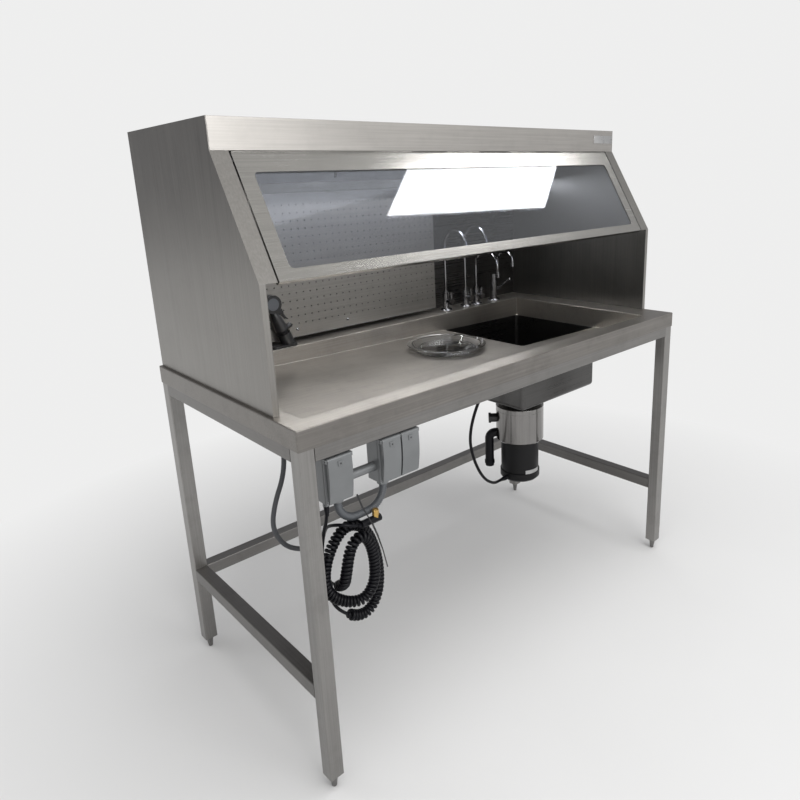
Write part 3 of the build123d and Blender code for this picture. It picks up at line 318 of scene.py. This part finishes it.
# Painted shade: the rim's skirt, the upright faces at the very edge of the worktop, gets a darker copy of
# the deck's steel
deck_x, deck_y = 0.755, 0.37
finish_faces("worktop", "skirt", lambda c, n: abs(n.z) < 0.3 and (abs(c.x) > deck_x or abs(c.y) > deck_y))
# The hood's inner faces see little light
inner_x, facing = 0.7525, 0.9
finish_faces("hood_side_right", "inner", lambda c, n: n.x < -facing and c.x < inner_x)
finish_faces("hood_side_left", "inner", lambda c, n: n.x > facing and c.x > -inner_x)
# The face behind the perforated panel stays in the dark of the plenum
finish_faces("hood_back", "bowl", lambda c, n: n.y < -facing)
# The dishwasher inlet's cap and clamp are black: whatever stands out from the chamber's wall, high up
disposer_x, disposer_y = 0.4495, 0.0725
wall_radius, inlet_low = 0.0935, 0.49
disposer_axis = Vector((disposer_x, disposer_y))
finish_faces("disposer_body", "black",
             lambda c, n: (c.xy - disposer_axis).length > wall_radius and c.z > inlet_low)


# mesh helpers
def add_piece(name, data, mat, body):
    o = bpy.data.objects.new(name, data)
    scene.collection.objects.link(o)
    data.materials.append(MAT[mat])
    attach(o, body)
    return o


def mesh_object(name, verts, faces, mat, body, smooth):
    me = bpy.data.meshes.new(name)
    me.from_pydata([tuple(v) for v in verts], [], faces)
    me.validate()
    me.update()
    if smooth:
        for p in me.polygons:
            p.use_smooth = True
    return add_piece(name, me, mat, body)


def from_bmesh(name, bm, mat, body, smooth_angle):
    bmesh.ops.recalc_face_normals(bm, faces=bm.faces)
    me = bpy.data.meshes.new(name)
    bm.to_mesh(me)
    bm.free()
    smooth_shade(me, smooth_angle)
    return add_piece(name, me, mat, body)


def turned(name, profile, origin, axis, mat, body, sides, smooth_angle=0.6):
    """A solid of revolution: profile is a list of (radius, height) along the axis."""
    axis = Vector(axis).normalized()
    helper = Vector((0, 0, 1)) if abs(axis.z) < 0.9 else Vector((1, 0, 0))
    u = axis.cross(helper).normalized()
    v = axis.cross(u)
    origin = Vector(origin)
    bm = bmesh.new()
    rings = []
    for r, h in profile:
        ring = []
        for k in range(sides):
            a = 2 * math.pi * k / sides
            ring.append(bm.verts.new(origin + axis * h + (u * math.cos(a) + v * math.sin(a)) * r))
        rings.append(ring)
    for a, b in zip(rings, rings[1:]):
        for k in range(sides):
            bm.faces.new((a[k], a[(k + 1) % sides], b[(k + 1) % sides], b[k]))
    bm.faces.new(rings[0])
    bm.faces.new(rings[-1])
    return from_bmesh(name, bm, mat, body, smooth_angle)


def rounded_box(name, lo, hi, radius, mat, body):
    bm = bmesh.new()
    bmesh.ops.create_cube(bm, size=1.0)
    lo, hi = Vector(lo), Vector(hi)
    size, mid = hi - lo, (hi + lo) / 2
    for vert in bm.verts:
        vert.co = Vector((vert.co.x * size.x, vert.co.y * size.y, vert.co.z * size.z)) + mid
    bmesh.ops.bevel(bm, geom=bm.edges[:], offset=radius, segments=3, profile=0.6, affect="EDGES")
    return from_bmesh(name, bm, mat, body, 0.9)


# cords
def nurbs(name, points, radius, mat, body):
    """A round cord along a spline of control points in millimetres, with its radius in metres."""
    cu = bpy.data.curves.new(name, "CURVE")
    cu.dimensions = "3D"
    cu.resolution_u = 10
    cu.bevel_depth = radius
    cu.bevel_resolution = 5
    cu.use_fill_caps = True
    sp = cu.splines.new("NURBS")
    sp.points.add(len(points) - 1)
    for p, c in zip(sp.points, points):
        p.co = (c[0] / 1000, c[1] / 1000, c[2] / 1000, 1)
    sp.order_u = 3
    sp.use_endpoint_u = True
    return add_piece(name, cu, mat, body)


def line_of(o):
    """Points down the middle of a NURBS cord, in metres."""
    bare = o.data.copy()
    bare.bevel_depth = 0
    holder = bpy.data.objects.new("bare_line", bare)
    me = bpy.data.meshes.new_from_object(holder)
    pts = [v.co.copy() for v in me.vertices]
    bpy.data.meshes.remove(me)
    bpy.data.objects.remove(holder)
    bpy.data.curves.remove(bare)
    return pts


def length_of(pts):
    return sum((b - a).length for a, b in zip(pts, pts[1:]))


# Routes in millimetres. Most of their points are measured in y from the worktop's front
front = -375.0
supply_route = [
    (-721.6, front + 200, 867.95), (-696, front + 200, 867.95), (-688, front + 200, 822),
    (-696, front + 200, 752), (-727, front + 200, 690), (-742, front + 198, 630),
    (-718, front + 194, 575), (-682, front + 184, 553), (-664, front + 152, 566),
    (-676, front + 118, 610), (-682, front + 106, 670), (-686, front + 102, 730),
    (-684, front + 92, 775), (-684, front + 66, 775),
]
disposer_route = [
    (363.5, 72.5, 289), (334, 72.5, 289), (279, 57.5, 299), (210, front + 421, 351),
    (161, front + 420, 445), (143, front + 420, 538), (179, front + 412, 652),
    (196, front + 360, 748), (190, front + 270, 815), (172, front + 175, 850),
    (155, front + 112, 864), (150, front + 76, 863.95), (150, front + 40.4, 863.95),
]
lead_route = [
    (-684, front + 39, 726.9), (-684, front + 39, 696), (-686, front + 60, 650),
    (-690, front + 70, 592), (-689, front + 68, 530), (-686, front + 59, 482),
    (-671, front + 45, 443.46), (-648, front + 45, 424),
]
coil_route = [
    (-648, front + 45, 424), (-622, front + 45, 402), (-582, front + 45, 401),
    (-554, front + 45, 440), (-548, front + 45, 510), (-562, front + 45, 585),
    (-592, front + 45, 640), (-638, front + 45, 655), (-682, front + 45, 612),
    (-704, front + 45, 550), (-696, front + 42, 500), (-655, front + 34, 464),
    (-612, front + 22, 456), (-584, front + 16, 492), (-580, front + 15, 550),
    (-590, front + 15, 605), (-609, front + 15, 631), (-634, front + 15, 627),
    (-650, front + 16, 598), (-660, front + 17, 552), (-663, front + 26, 515),
    (-660, front + 62, 500),
]
tail_route = [
    (-660, front + 62, 500), (-656.7, front + 101.6, 483.5), (-655, front + 128, 512),
    (-655, front + 126, 560), (-658, front + 108, 612), (-667, front + 76, 652),
    (-668, front + 44, 669), (-656, front + 22, 673), (-638, front + 15, 666),
    (-620, front + 16, 659),
]

supply = nurbs("supply_cable_run", supply_route, 0.006, "grey_rubber", "station")
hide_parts("supply_cable")
disposer_lead = nurbs("disposer_cable_run", disposer_route, 0.0055, "rubber", "station")
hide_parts("disposer_cable")
lead = nurbs("curly_lead_run", lead_route, 0.004, "rubber", "station")
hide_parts("curly_lead")
tail = nurbs("curly_tail_run", tail_route, 0.004, "rubber", "station")
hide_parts("curly_tail")

# The coil's helix winds round the route's own spline
coil_line = nurbs("coil_line", coil_route, 0.0, "rubber", "station")
centre = line_of(coil_line)
bpy.data.objects.remove(coil_line)


def resample(pts, step):
    """Points at even steps along a line of points."""
    out = [pts[0].copy()]
    left = step
    for a, b in zip(pts, pts[1:]):
        seg = b - a
        d = seg.length
        pos = 0.0
        while d - pos >= left:
            pos += left
            out.append(a + seg * (pos / d))
            left = step
        left -= d - pos
    return out


def helix_path(pts, radius, pitch, per_turn):
    """Points of a helix wound round a line, and drawn in to the line over one turn at both ends."""
    end_share = 0.12
    pts = resample(pts, pitch / per_turn)
    normal = None
    out = []
    count = len(pts)
    for i in range(count):
        a = pts[max(i - 1, 0)]
        b = pts[min(i + 1, count - 1)]
        t = (b - a).normalized()
        if normal is None:
            normal = t.orthogonal().normalized()
        normal = (normal - t * normal.dot(t)).normalized()
        binormal = t.cross(normal)
        angle = 2 * math.pi * i / per_turn
        edge = min(i, count - 1 - i) / per_turn
        r = radius * min(1.0, end_share + (1 - end_share) * edge)
        out.append(pts[i] + (normal * math.cos(angle) + binormal * math.sin(angle)) * r)
    return out


def tube_mesh(name, pts, radius, mat, body, sides):
    """A tube along points. Its radius is a number, or a function of the point's place in the row."""
    count = len(pts)
    verts, faces = [], []
    normal = None
    for i in range(count):
        t = (pts[min(i + 1, count - 1)] - pts[max(i - 1, 0)]).normalized()
        if normal is None:
            normal = t.orthogonal().normalized()
        normal = (normal - t * normal.dot(t)).normalized()
        binormal = t.cross(normal)
        r = radius(i) if callable(radius) else radius
        for k in range(sides):
            a = 2 * math.pi * k / sides
            verts.append(pts[i] + (normal * math.cos(a) + binormal * math.sin(a)) * r)
    for i in range(count - 1):
        for k in range(sides):
            a, b = i * sides + k, i * sides + (k + 1) % sides
            faces.append((a, b, b + sides, a + sides))
    faces.append(tuple(range(sides))[::-1])
    faces.append(tuple((count - 1) * sides + k for k in range(sides)))
    return mesh_object(name, verts, faces, mat, body, True)


# The coil's wire radius, outer radius, distance between turns and points in a turn
WIRE, COIL_RADIUS, COIL_PITCH, TURN_POINTS = 0.0042, 0.0140, 0.0096, 16
coil_pts = helix_path(centre, COIL_RADIUS - WIRE, COIL_PITCH, TURN_POINTS)
coil = tube_mesh("curly_coil_turns", coil_pts, WIRE, "rubber", "station", 8)
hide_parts("curly_coil")

round(length_of(line_of(supply)), 3)
round(length_of(line_of(disposer_lead)), 3)
round(length_of(line_of(lead)), 3)
round(length_of(line_of(tail)), 3)


# the full perforated panel: every hole of the real one, in the front sheet
panel_lo = Vector((-0.751, 0.323, 0.950))
panel_hi = Vector((0.258, 0.3245, 1.564))
# The first hole, low on the left, and the steps to the next column and row
hole_x, hole_z = -0.731, 0.992
pitch_x, pitch_z = 0.025, 0.0245
columns, rows = 40, 16
hole_r = 0.0025
hole_sides = 12
per_quarter = hole_sides // 4


def perforated(name, lo, hi):
    """A sheet with round holes: one cell round each hole, plain strips outside."""
    bm = bmesh.new()
    half_x, half_z = pitch_x / 2, pitch_z / 2
    x_lines = [hole_x - half_x + k * pitch_x for k in range(columns + 1)]
    z_lines = [hole_z - half_z + k * pitch_z for k in range(rows + 1)]

    def quad(x0, x1, z0, z1, y, flip):
        corners = ((x0, z0), (x1, z0), (x1, z1), (x0, z1))
        loop = [bm.verts.new((x, y, z)) for x, z in corners]
        bm.faces.new(loop[::-1] if flip else loop)

    for y, flip in ((lo.y, False), (hi.y, True)):
        quad(lo.x, x_lines[0], lo.z, hi.z, y, flip)
        quad(x_lines[-1], hi.x, lo.z, hi.z, y, flip)
        quad(x_lines[0], x_lines[-1], lo.z, z_lines[0], y, flip)
        quad(x_lines[0], x_lines[-1], z_lines[-1], hi.z, y, flip)
    for col in range(columns):
        for row in range(rows):
            cx, cz = hole_x + col * pitch_x, hole_z + row * pitch_z
            rings = {}
            for y in (lo.y, hi.y):
                inner, outer = [], []
                for k in range(hole_sides):
                    a = 2 * math.pi * (k + 0.5) / hole_sides
                    ca, sa = math.cos(a), math.sin(a)
                    scale = min(half_x / abs(ca), half_z / abs(sa))
                    inner.append(bm.verts.new((cx + hole_r * ca, y, cz + hole_r * sa)))
                    edge_x, edge_z = scale * ca, scale * sa
                    # The middle point of each quarter goes to the cell's corner
                    if k % per_quarter == per_quarter // 2:
                        edge_x, edge_z = math.copysign(half_x, ca), math.copysign(half_z, sa)
                    outer.append(bm.verts.new((cx + edge_x, y, cz + edge_z)))
                rings[y] = (inner, outer)
                for k in range(hole_sides):
                    n = (k + 1) % hole_sides
                    f = [inner[k], outer[k], outer[n], inner[n]]
                    bm.faces.new(f if y == lo.y else f[::-1])
            front_ring, rear_ring = rings[lo.y][0], rings[hi.y][0]
            for k in range(hole_sides):
                n = (k + 1) % hole_sides
                bm.faces.new((front_ring[k], front_ring[n], rear_ring[n], rear_ring[k]))
    # The sheet's four outer edges
    edges = (
        (lo.x, hi.x, lo.z, lo.z), (lo.x, hi.x, hi.z, hi.z),
        (lo.x, lo.x, lo.z, hi.z), (hi.x, hi.x, lo.z, hi.z),
    )
    for x0, x1, z0, z1 in edges:
        a, b = bm.verts.new((x0, lo.y, z0)), bm.verts.new((x1, lo.y, z1))
        c, d = bm.verts.new((x1, hi.y, z1)), bm.verts.new((x0, hi.y, z0))
        bm.faces.new((a, b, c, d))
    bmesh.ops.remove_doubles(bm, verts=bm.verts, dist=0.00001)
    me = bpy.data.meshes.new(name)
    bm.to_mesh(me)
    bm.free()
    return add_piece(name, me, "plenum", "station")


panel = perforated("panel_all_holes", panel_lo, panel_hi)
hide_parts("plenum_panel")

# Panel screws, low on the sheet
PANEL_SCREW = [(0.0005, 0.0001), (0.0048, 0.0001), (0.0048, 0.0012), (0.0036, 0.0026), (0.0005, 0.0030)]
screw_z = 0.973
for k, x in enumerate((-0.339, -0.145)):
    turned("panel_screw_%d" % k, PANEL_SCREW, (x, 0.323, screw_z), (0, -1, 0),
           "chrome", "station", 20)


# Header plate, left bare
rounded_box("bare_name_plate", (0.638, -0.1105, 1.523), (0.746, -0.1081, 1.549), 0.0008,
            "bare_plate", "station")


# motor label, left bare: a curved sheet 1.5 mm off the motor's front, its lower half inside the base band
def curved_label(name, radius, angle_0, angle_1, z0, z1, mat):
    """A band round the disposer's axis, between two angles in degrees and two heights."""
    steps, thick = 12, 0.0006
    verts, faces = [], []
    for k in range(steps + 1):
        a = math.radians(angle_0 + (angle_1 - angle_0) * k / steps)
        for r in (radius, radius + thick):
            for z in (z0, z1):
                verts.append((disposer_x + r * math.cos(a), disposer_y + r * math.sin(a), z))
    for k in range(steps):
        i = 4 * k
        faces += [
            (i, i + 1, i + 5, i + 4), (i + 2, i + 6, i + 7, i + 3),
            (i, i + 4, i + 6, i + 2), (i + 1, i + 3, i + 7, i + 5),
        ]
    faces += [(0, 2, 3, 1), (4 * steps, 4 * steps + 1, 4 * steps + 3, 4 * steps + 2)]
    return mesh_object(name, verts, faces, mat, "station", False)


curved_label("bare_motor_label", 0.0745, 238, 288, 0.288, 0.322, "bare_plate")


# strain reliefs: tapered, ribbed sleeves
def strain_relief(name, origin, axis, radius, length):
    """A sleeve on a cord of this radius: ribs that narrow away from the box, and a groove after each."""
    ribs, first_rib, taper, groove = 5, 1.70, 0.55, 0.86
    foot, spread, rib_share = 0.08, 0.9, 0.62
    profile = [(0.0005, 0.0), (radius * 1.75, 0.0)]
    for k in range(ribs):
        h0 = length * (foot + spread * k / ribs)
        h1 = length * (foot + spread * (k + rib_share) / ribs)
        r = radius * (first_rib - taper * k / (ribs - 1))
        profile += [(r, h0), (r * 0.985, h1)]
        profile += [(r * groove, h1 + length * 0.01), (r * groove, h1 + length * 0.05)]
    profile += [(radius * 1.08, length), (0.0005, length)]
    return turned(name, profile, origin, axis, "rubber", "station", 20)


strain_relief("relief_curly_lead", (-0.684, front / 1000 + 0.039, 0.7268), (0, 0, -1), 0.004, 0.026)
strain_relief("relief_supply", (-0.684, (front + 66) / 1000 + 0.0005, 0.775), (0, 1, 0), 0.006, 0.024)
strain_relief("relief_disposer", (0.3633, 0.0725, 0.289), (-1, 0, 0), 0.0055, 0.026)


# zip tie: a flat strap, in two lengths
def strap(name, pts):
    """A flat strap through given points, with its width square to y, narrower at the last two."""
    width, thick, tip_share = 0.004, 0.0012, 0.6
    verts, faces = [], []
    count = len(pts)
    pts = [Vector(p) for p in pts]
    for i in range(count):
        t = (pts[min(i + 1, count - 1)] - pts[max(i - 1, 0)]).normalized()
        side = t.cross(Vector((0, 1, 0))).normalized()
        face = side.cross(t).normalized()
        w = width * (1.0 if i < count - 2 else tip_share)
        for a, b in ((-1, -1), (1, -1), (1, 1), (-1, 1)):
            verts.append(pts[i] + side * (a * w / 2) + face * (b * thick / 2))
    for i in range(count - 1):
        for k in range(4):
            a, b = 4 * i + k, 4 * i + (k + 1) % 4
            faces.append((a, b, b + 4, a + 4))
    faces += [(3, 2, 1, 0), tuple(4 * (count - 1) + k for k in range(4))]
    return mesh_object(name, verts, faces, "tie", "station", False)


# Ribbed grey conduit: it hangs in a U with rounded corners between the two boxes
flex_left, flex_right = -0.654, -0.525
flex_y, flex_top, flex_low, flex_bend = -0.336, 0.727, 0.671, 0.050
bend_steps, end_gap = 12, 0.0002
flex_line = [Vector((flex_right, flex_y, flex_top - end_gap))]
for cx, start in ((flex_right - flex_bend, 0), (flex_left + flex_bend, -90)):
    for k in range(bend_steps + 1):
        a = math.radians(start - 90 * k / bend_steps)
        bend_z = flex_low + flex_bend + flex_bend * math.sin(a)
        flex_line.append(Vector((cx + flex_bend * math.cos(a), flex_y, bend_z)))
flex_line.append(Vector((flex_left, flex_y, flex_top - end_gap)))
RIB_RADIUS, GROOVE_RADIUS, RIB_PITCH, RIB_POINTS = 0.0095, 0.0095 * 0.90, 0.0046, 4


def rib_radius(i):
    """Of the four points in a rib, the middle two stand out."""
    return RIB_RADIUS if i % RIB_POINTS in (1, 2) else GROOVE_RADIUS


conduit = tube_mesh("ribbed_conduit", resample(flex_line, RIB_PITCH / RIB_POINTS), rib_radius,
                    "conduit", "station", 20)
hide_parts("flex_conduit")

# The tie starts beside the left box, crosses the conduit and the connector, and its tail hangs to the right
strap("zip_tie_loop", [
    (-0.622, -0.368, 0.742), (-0.612, -0.372, 0.706), (-0.599, -0.376, 0.676), (-0.590, -0.3765, 0.655),
])
strap("zip_tie_tail", [
    (-0.592, -0.3765, 0.662), (-0.578, -0.3765, 0.622), (-0.566, -0.376, 0.580), (-0.554, -0.374, 0.528),
])

# Outlet plates: a screw at each lower corner
PLATE_SCREW = [(0.0005, 0.0001), (0.0030, 0.0001), (0.0030, 0.0009), (0.0018, 0.0016), (0.0005, 0.0017)]
plate_y, plate_low, screw_inset = -0.361, 0.738, 0.006
for k, x in enumerate((-0.692, -0.632, -0.544, -0.438)):
    turned("plate_screw_%d" % k, PLATE_SCREW, (x, plate_y, plate_low + screw_inset), (0, -1, 0),
           "chrome", "station", 16)


def world_box(name):
    """The lowest and highest corner of a node's box, in the frame."""
    o = nodes[name]
    corners = [o.matrix_world @ Vector(c) for c in o.bound_box]
    lo = Vector([min(c[k] for c in corners) for k in range(3)])
    hi = Vector([max(c[k] for c in corners) for k in range(3)])
    return lo, hi


# A padlock hasp stands on each lid, below its hinge, with a black disc as painted shade for its hole
HASP_HOLE_SHADE_DISC = [(0.0005, 0.0), (0.0021, 0.0), (0.0021, 0.0003), (0.0005, 0.0003)]
hasp_half, hasp_proud, hasp_sunk = 0.0065, 0.0012, 0.006
hasp_top, hasp_low, hasp_hole = 0.011, 0.023, 0.017
for side in ("left", "right_a", "right_b"):
    lid, flap = "lid_" + side, "flap_" + side
    lo, hi = world_box(lid)
    mid = (lo.x + hi.x) / 2
    face = lo.y - hasp_proud
    hasp_lo = (mid - hasp_half, face, hi.z - hasp_low)
    hasp_hi = (mid + hasp_half, lo.y + hasp_sunk, hi.z - hasp_top)
    rounded_box(lid + "_hasp", hasp_lo, hasp_hi, 0.0009, "cast", flap)
    # Painted shade: the thin black disc stands for the dark inside the hole
    turned(lid + "_hasp_hole", HASP_HOLE_SHADE_DISC, (mid, face + 0.0001, hi.z - hasp_hole), (0, -1, 0),
           "black", flap, 16)


# Brass stub on the connector: a hexagon with a shoulder and a bevelled end
BRASS_STUB = [
    (0.0005, 0.0), (0.0084, 0.0), (0.0084, 0.010), (0.0082, 0.0115),
    (0.0082, 0.0215), (0.0066, 0.0245), (0.0005, 0.0245),
]
turned("brass_stub", BRASS_STUB, (-0.568, -0.359, 0.6572), (0, 0, 1),
       "brass", "station", 6, 0.4)


# light and stage
def area(name, place, target, size_x, size_y, power, glossy=True):
    data = bpy.data.lights.new(name, "AREA")
    data.shape = "RECTANGLE"
    data.size = size_x
    data.size_y = size_y
    data.energy = power
    o = bpy.data.objects.new(name, data)
    scene.collection.objects.link(o)
    o.location = place
    o.rotation_euler = (Vector(target) - Vector(place)).to_track_quat("-Z", "Y").to_euler()
    o.visible_camera = False
    o.visible_glossy = glossy
    return o


area("key", (-0.4, -3.8, 2.6), (0, 0, 1.0), 3.0, 2.2, 88)
area("fill_front", (1.8, -3.4, 1.0), (0.1, 0, 0.9), 2.0, 1.6, 26, glossy=False)
area("top", (0.2, -0.9, 4.0), (0, 0, 0.9), 3.2, 2.0, 60, glossy=False)
area("back_rim", (-2.6, 2.6, 2.4), (0, 0, 0.9), 1.6, 1.6, 14, glossy=False)
# The chamber's own light: what the strip lens throws on the deck
glow = area("lens_glow", (0, 0.232, 1.392), (0, 0.10, 0.9), 1.36, 0.07, 7.0)
glow.visible_transmission = False

# The ceiling lamp that the window mirrors, seen by the visor's pieces alone
lamp_z = 2.6
lamp_corners = ((0.859, -0.742), (2.091, -0.727), (2.158, -1.044), (0.811, -1.016))
lamp_mesh = bpy.data.meshes.new("ceiling_lamp")
lamp_mesh.from_pydata([(x, y, lamp_z) for x, y in lamp_corners], [], [(0, 3, 2, 1)])
lamp = bpy.data.objects.new("ceiling_lamp", lamp_mesh)
scene.collection.objects.link(lamp)
lamp_mat = bpy.data.materials.new("ceiling_lamp")
lamp_mat.use_nodes = True
lamp_mat.node_tree.nodes.clear()
lamp_out = lamp_mat.node_tree.nodes.new("ShaderNodeOutputMaterial")
lamp_glow = lamp_mat.node_tree.nodes.new("ShaderNodeEmission")
lamp_glow.inputs["Strength"].default_value = 14.0
lamp_mat.node_tree.links.new(lamp_glow.outputs[0], lamp_out.inputs["Surface"])
lamp_mesh.materials.append(lamp_mat)
lamp.visible_diffuse = False
lamp.visible_camera = False
lamp.visible_shadow = False
window = bpy.data.collections.new("window")
window.objects.link(nodes["visor_glass"])
window.objects.link(nodes["visor_frame"])
lamp.light_linking.receiver_collection = window

# Pale surroundings: flat to camera and transmission rays, graded by direction to all others
world = bpy.data.worlds.new("world")
scene.world = world
world.use_nodes = True
wt = world.node_tree
wt.nodes.clear()
w_out = wt.nodes.new("ShaderNodeOutputWorld")
w_bg = wt.nodes.new("ShaderNodeBackground")
w_seen = wt.nodes.new("ShaderNodeBackground")
w_mix = wt.nodes.new("ShaderNodeMixShader")
w_path = wt.nodes.new("ShaderNodeLightPath")
w_dir = wt.nodes.new("ShaderNodeTexCoord")
w_dot = wt.nodes.new("ShaderNodeVectorMath")
w_dot.operation = "DOT_PRODUCT"
w_dot.inputs[1].default_value = (-0.22, -0.80, 0.56)
wt.links.new(w_dir.outputs["Generated"], w_dot.inputs[0])
tones = [
    (0.0, (0.20, 0.20, 0.21)), (0.45, (0.36, 0.36, 0.37)),
    (0.75, (0.80, 0.80, 0.80)), (1.0, (1.0, 0.99, 0.97)),
]
graded = ramp(wt, math_node(wt, "MULTIPLY_ADD", w_dot.outputs["Value"], 0.5), tones)
wt.links.new(graded, w_bg.inputs["Color"])
w_bg.inputs["Strength"].default_value = 1.0
w_seen.inputs["Color"].default_value = PALE
w_seen.inputs["Strength"].default_value = 1.0
seen = math_node(wt, "MAXIMUM", w_path.outputs["Is Camera Ray"], w_path.outputs["Is Transmission Ray"])
wt.links.new(seen, w_mix.inputs[0])
wt.links.new(w_bg.outputs[0], w_mix.inputs[1])
wt.links.new(w_seen.outputs[0], w_mix.inputs[2])
wt.links.new(w_mix.outputs[0], w_out.inputs["Surface"])

# A floor that is lit and shadowed near the object, and turns into the flat backdrop further out
reach = 14
floor_mesh = bpy.data.meshes.new("floor")
floor_mesh.from_pydata([(-reach, -reach, 0), (reach, -reach, 0), (reach, reach, 0), (-reach, reach, 0)],
                       [], [(0, 1, 2, 3)])
floor = bpy.data.objects.new("floor", floor_mesh)
scene.collection.objects.link(floor)
floor_mat, nt, bsdf = new_material("floor_pale")
soft = noise(nt, mapped(nt), 1.5, 3)
nt.links.new(ramp(nt, soft, [(0.3, 0.615), (0.7, 0.63)]), bsdf.inputs["Base Color"])
bsdf.inputs["Roughness"].default_value = 0.95
bsdf.inputs["Specular IOR Level"].default_value = 0.0
plain = nt.nodes.new("ShaderNodeEmission")
plain.inputs["Color"].default_value = PALE
floor_place = nt.nodes.new("ShaderNodeTexCoord")
distance = nt.nodes.new("ShaderNodeVectorMath")
distance.operation = "LENGTH"
nt.links.new(floor_place.outputs["Object"], distance.inputs[0])
far = ramp(nt, math_node(nt, "MULTIPLY", distance.outputs["Value"], 0.2), [(0.16, 0.0), (0.42, 1.0)])
blend = nt.nodes.new("ShaderNodeMixShader")
nt.links.new(far, blend.inputs[0])
nt.links.new(bsdf.outputs[0], blend.inputs[1])
nt.links.new(plain.outputs[0], blend.inputs[2])
nt.links.new(blend.outputs[0], nt.nodes["Material Output"].inputs["Surface"])
floor_mesh.materials.append(floor_mat)

scene.view_settings.view_transform = "Standard"
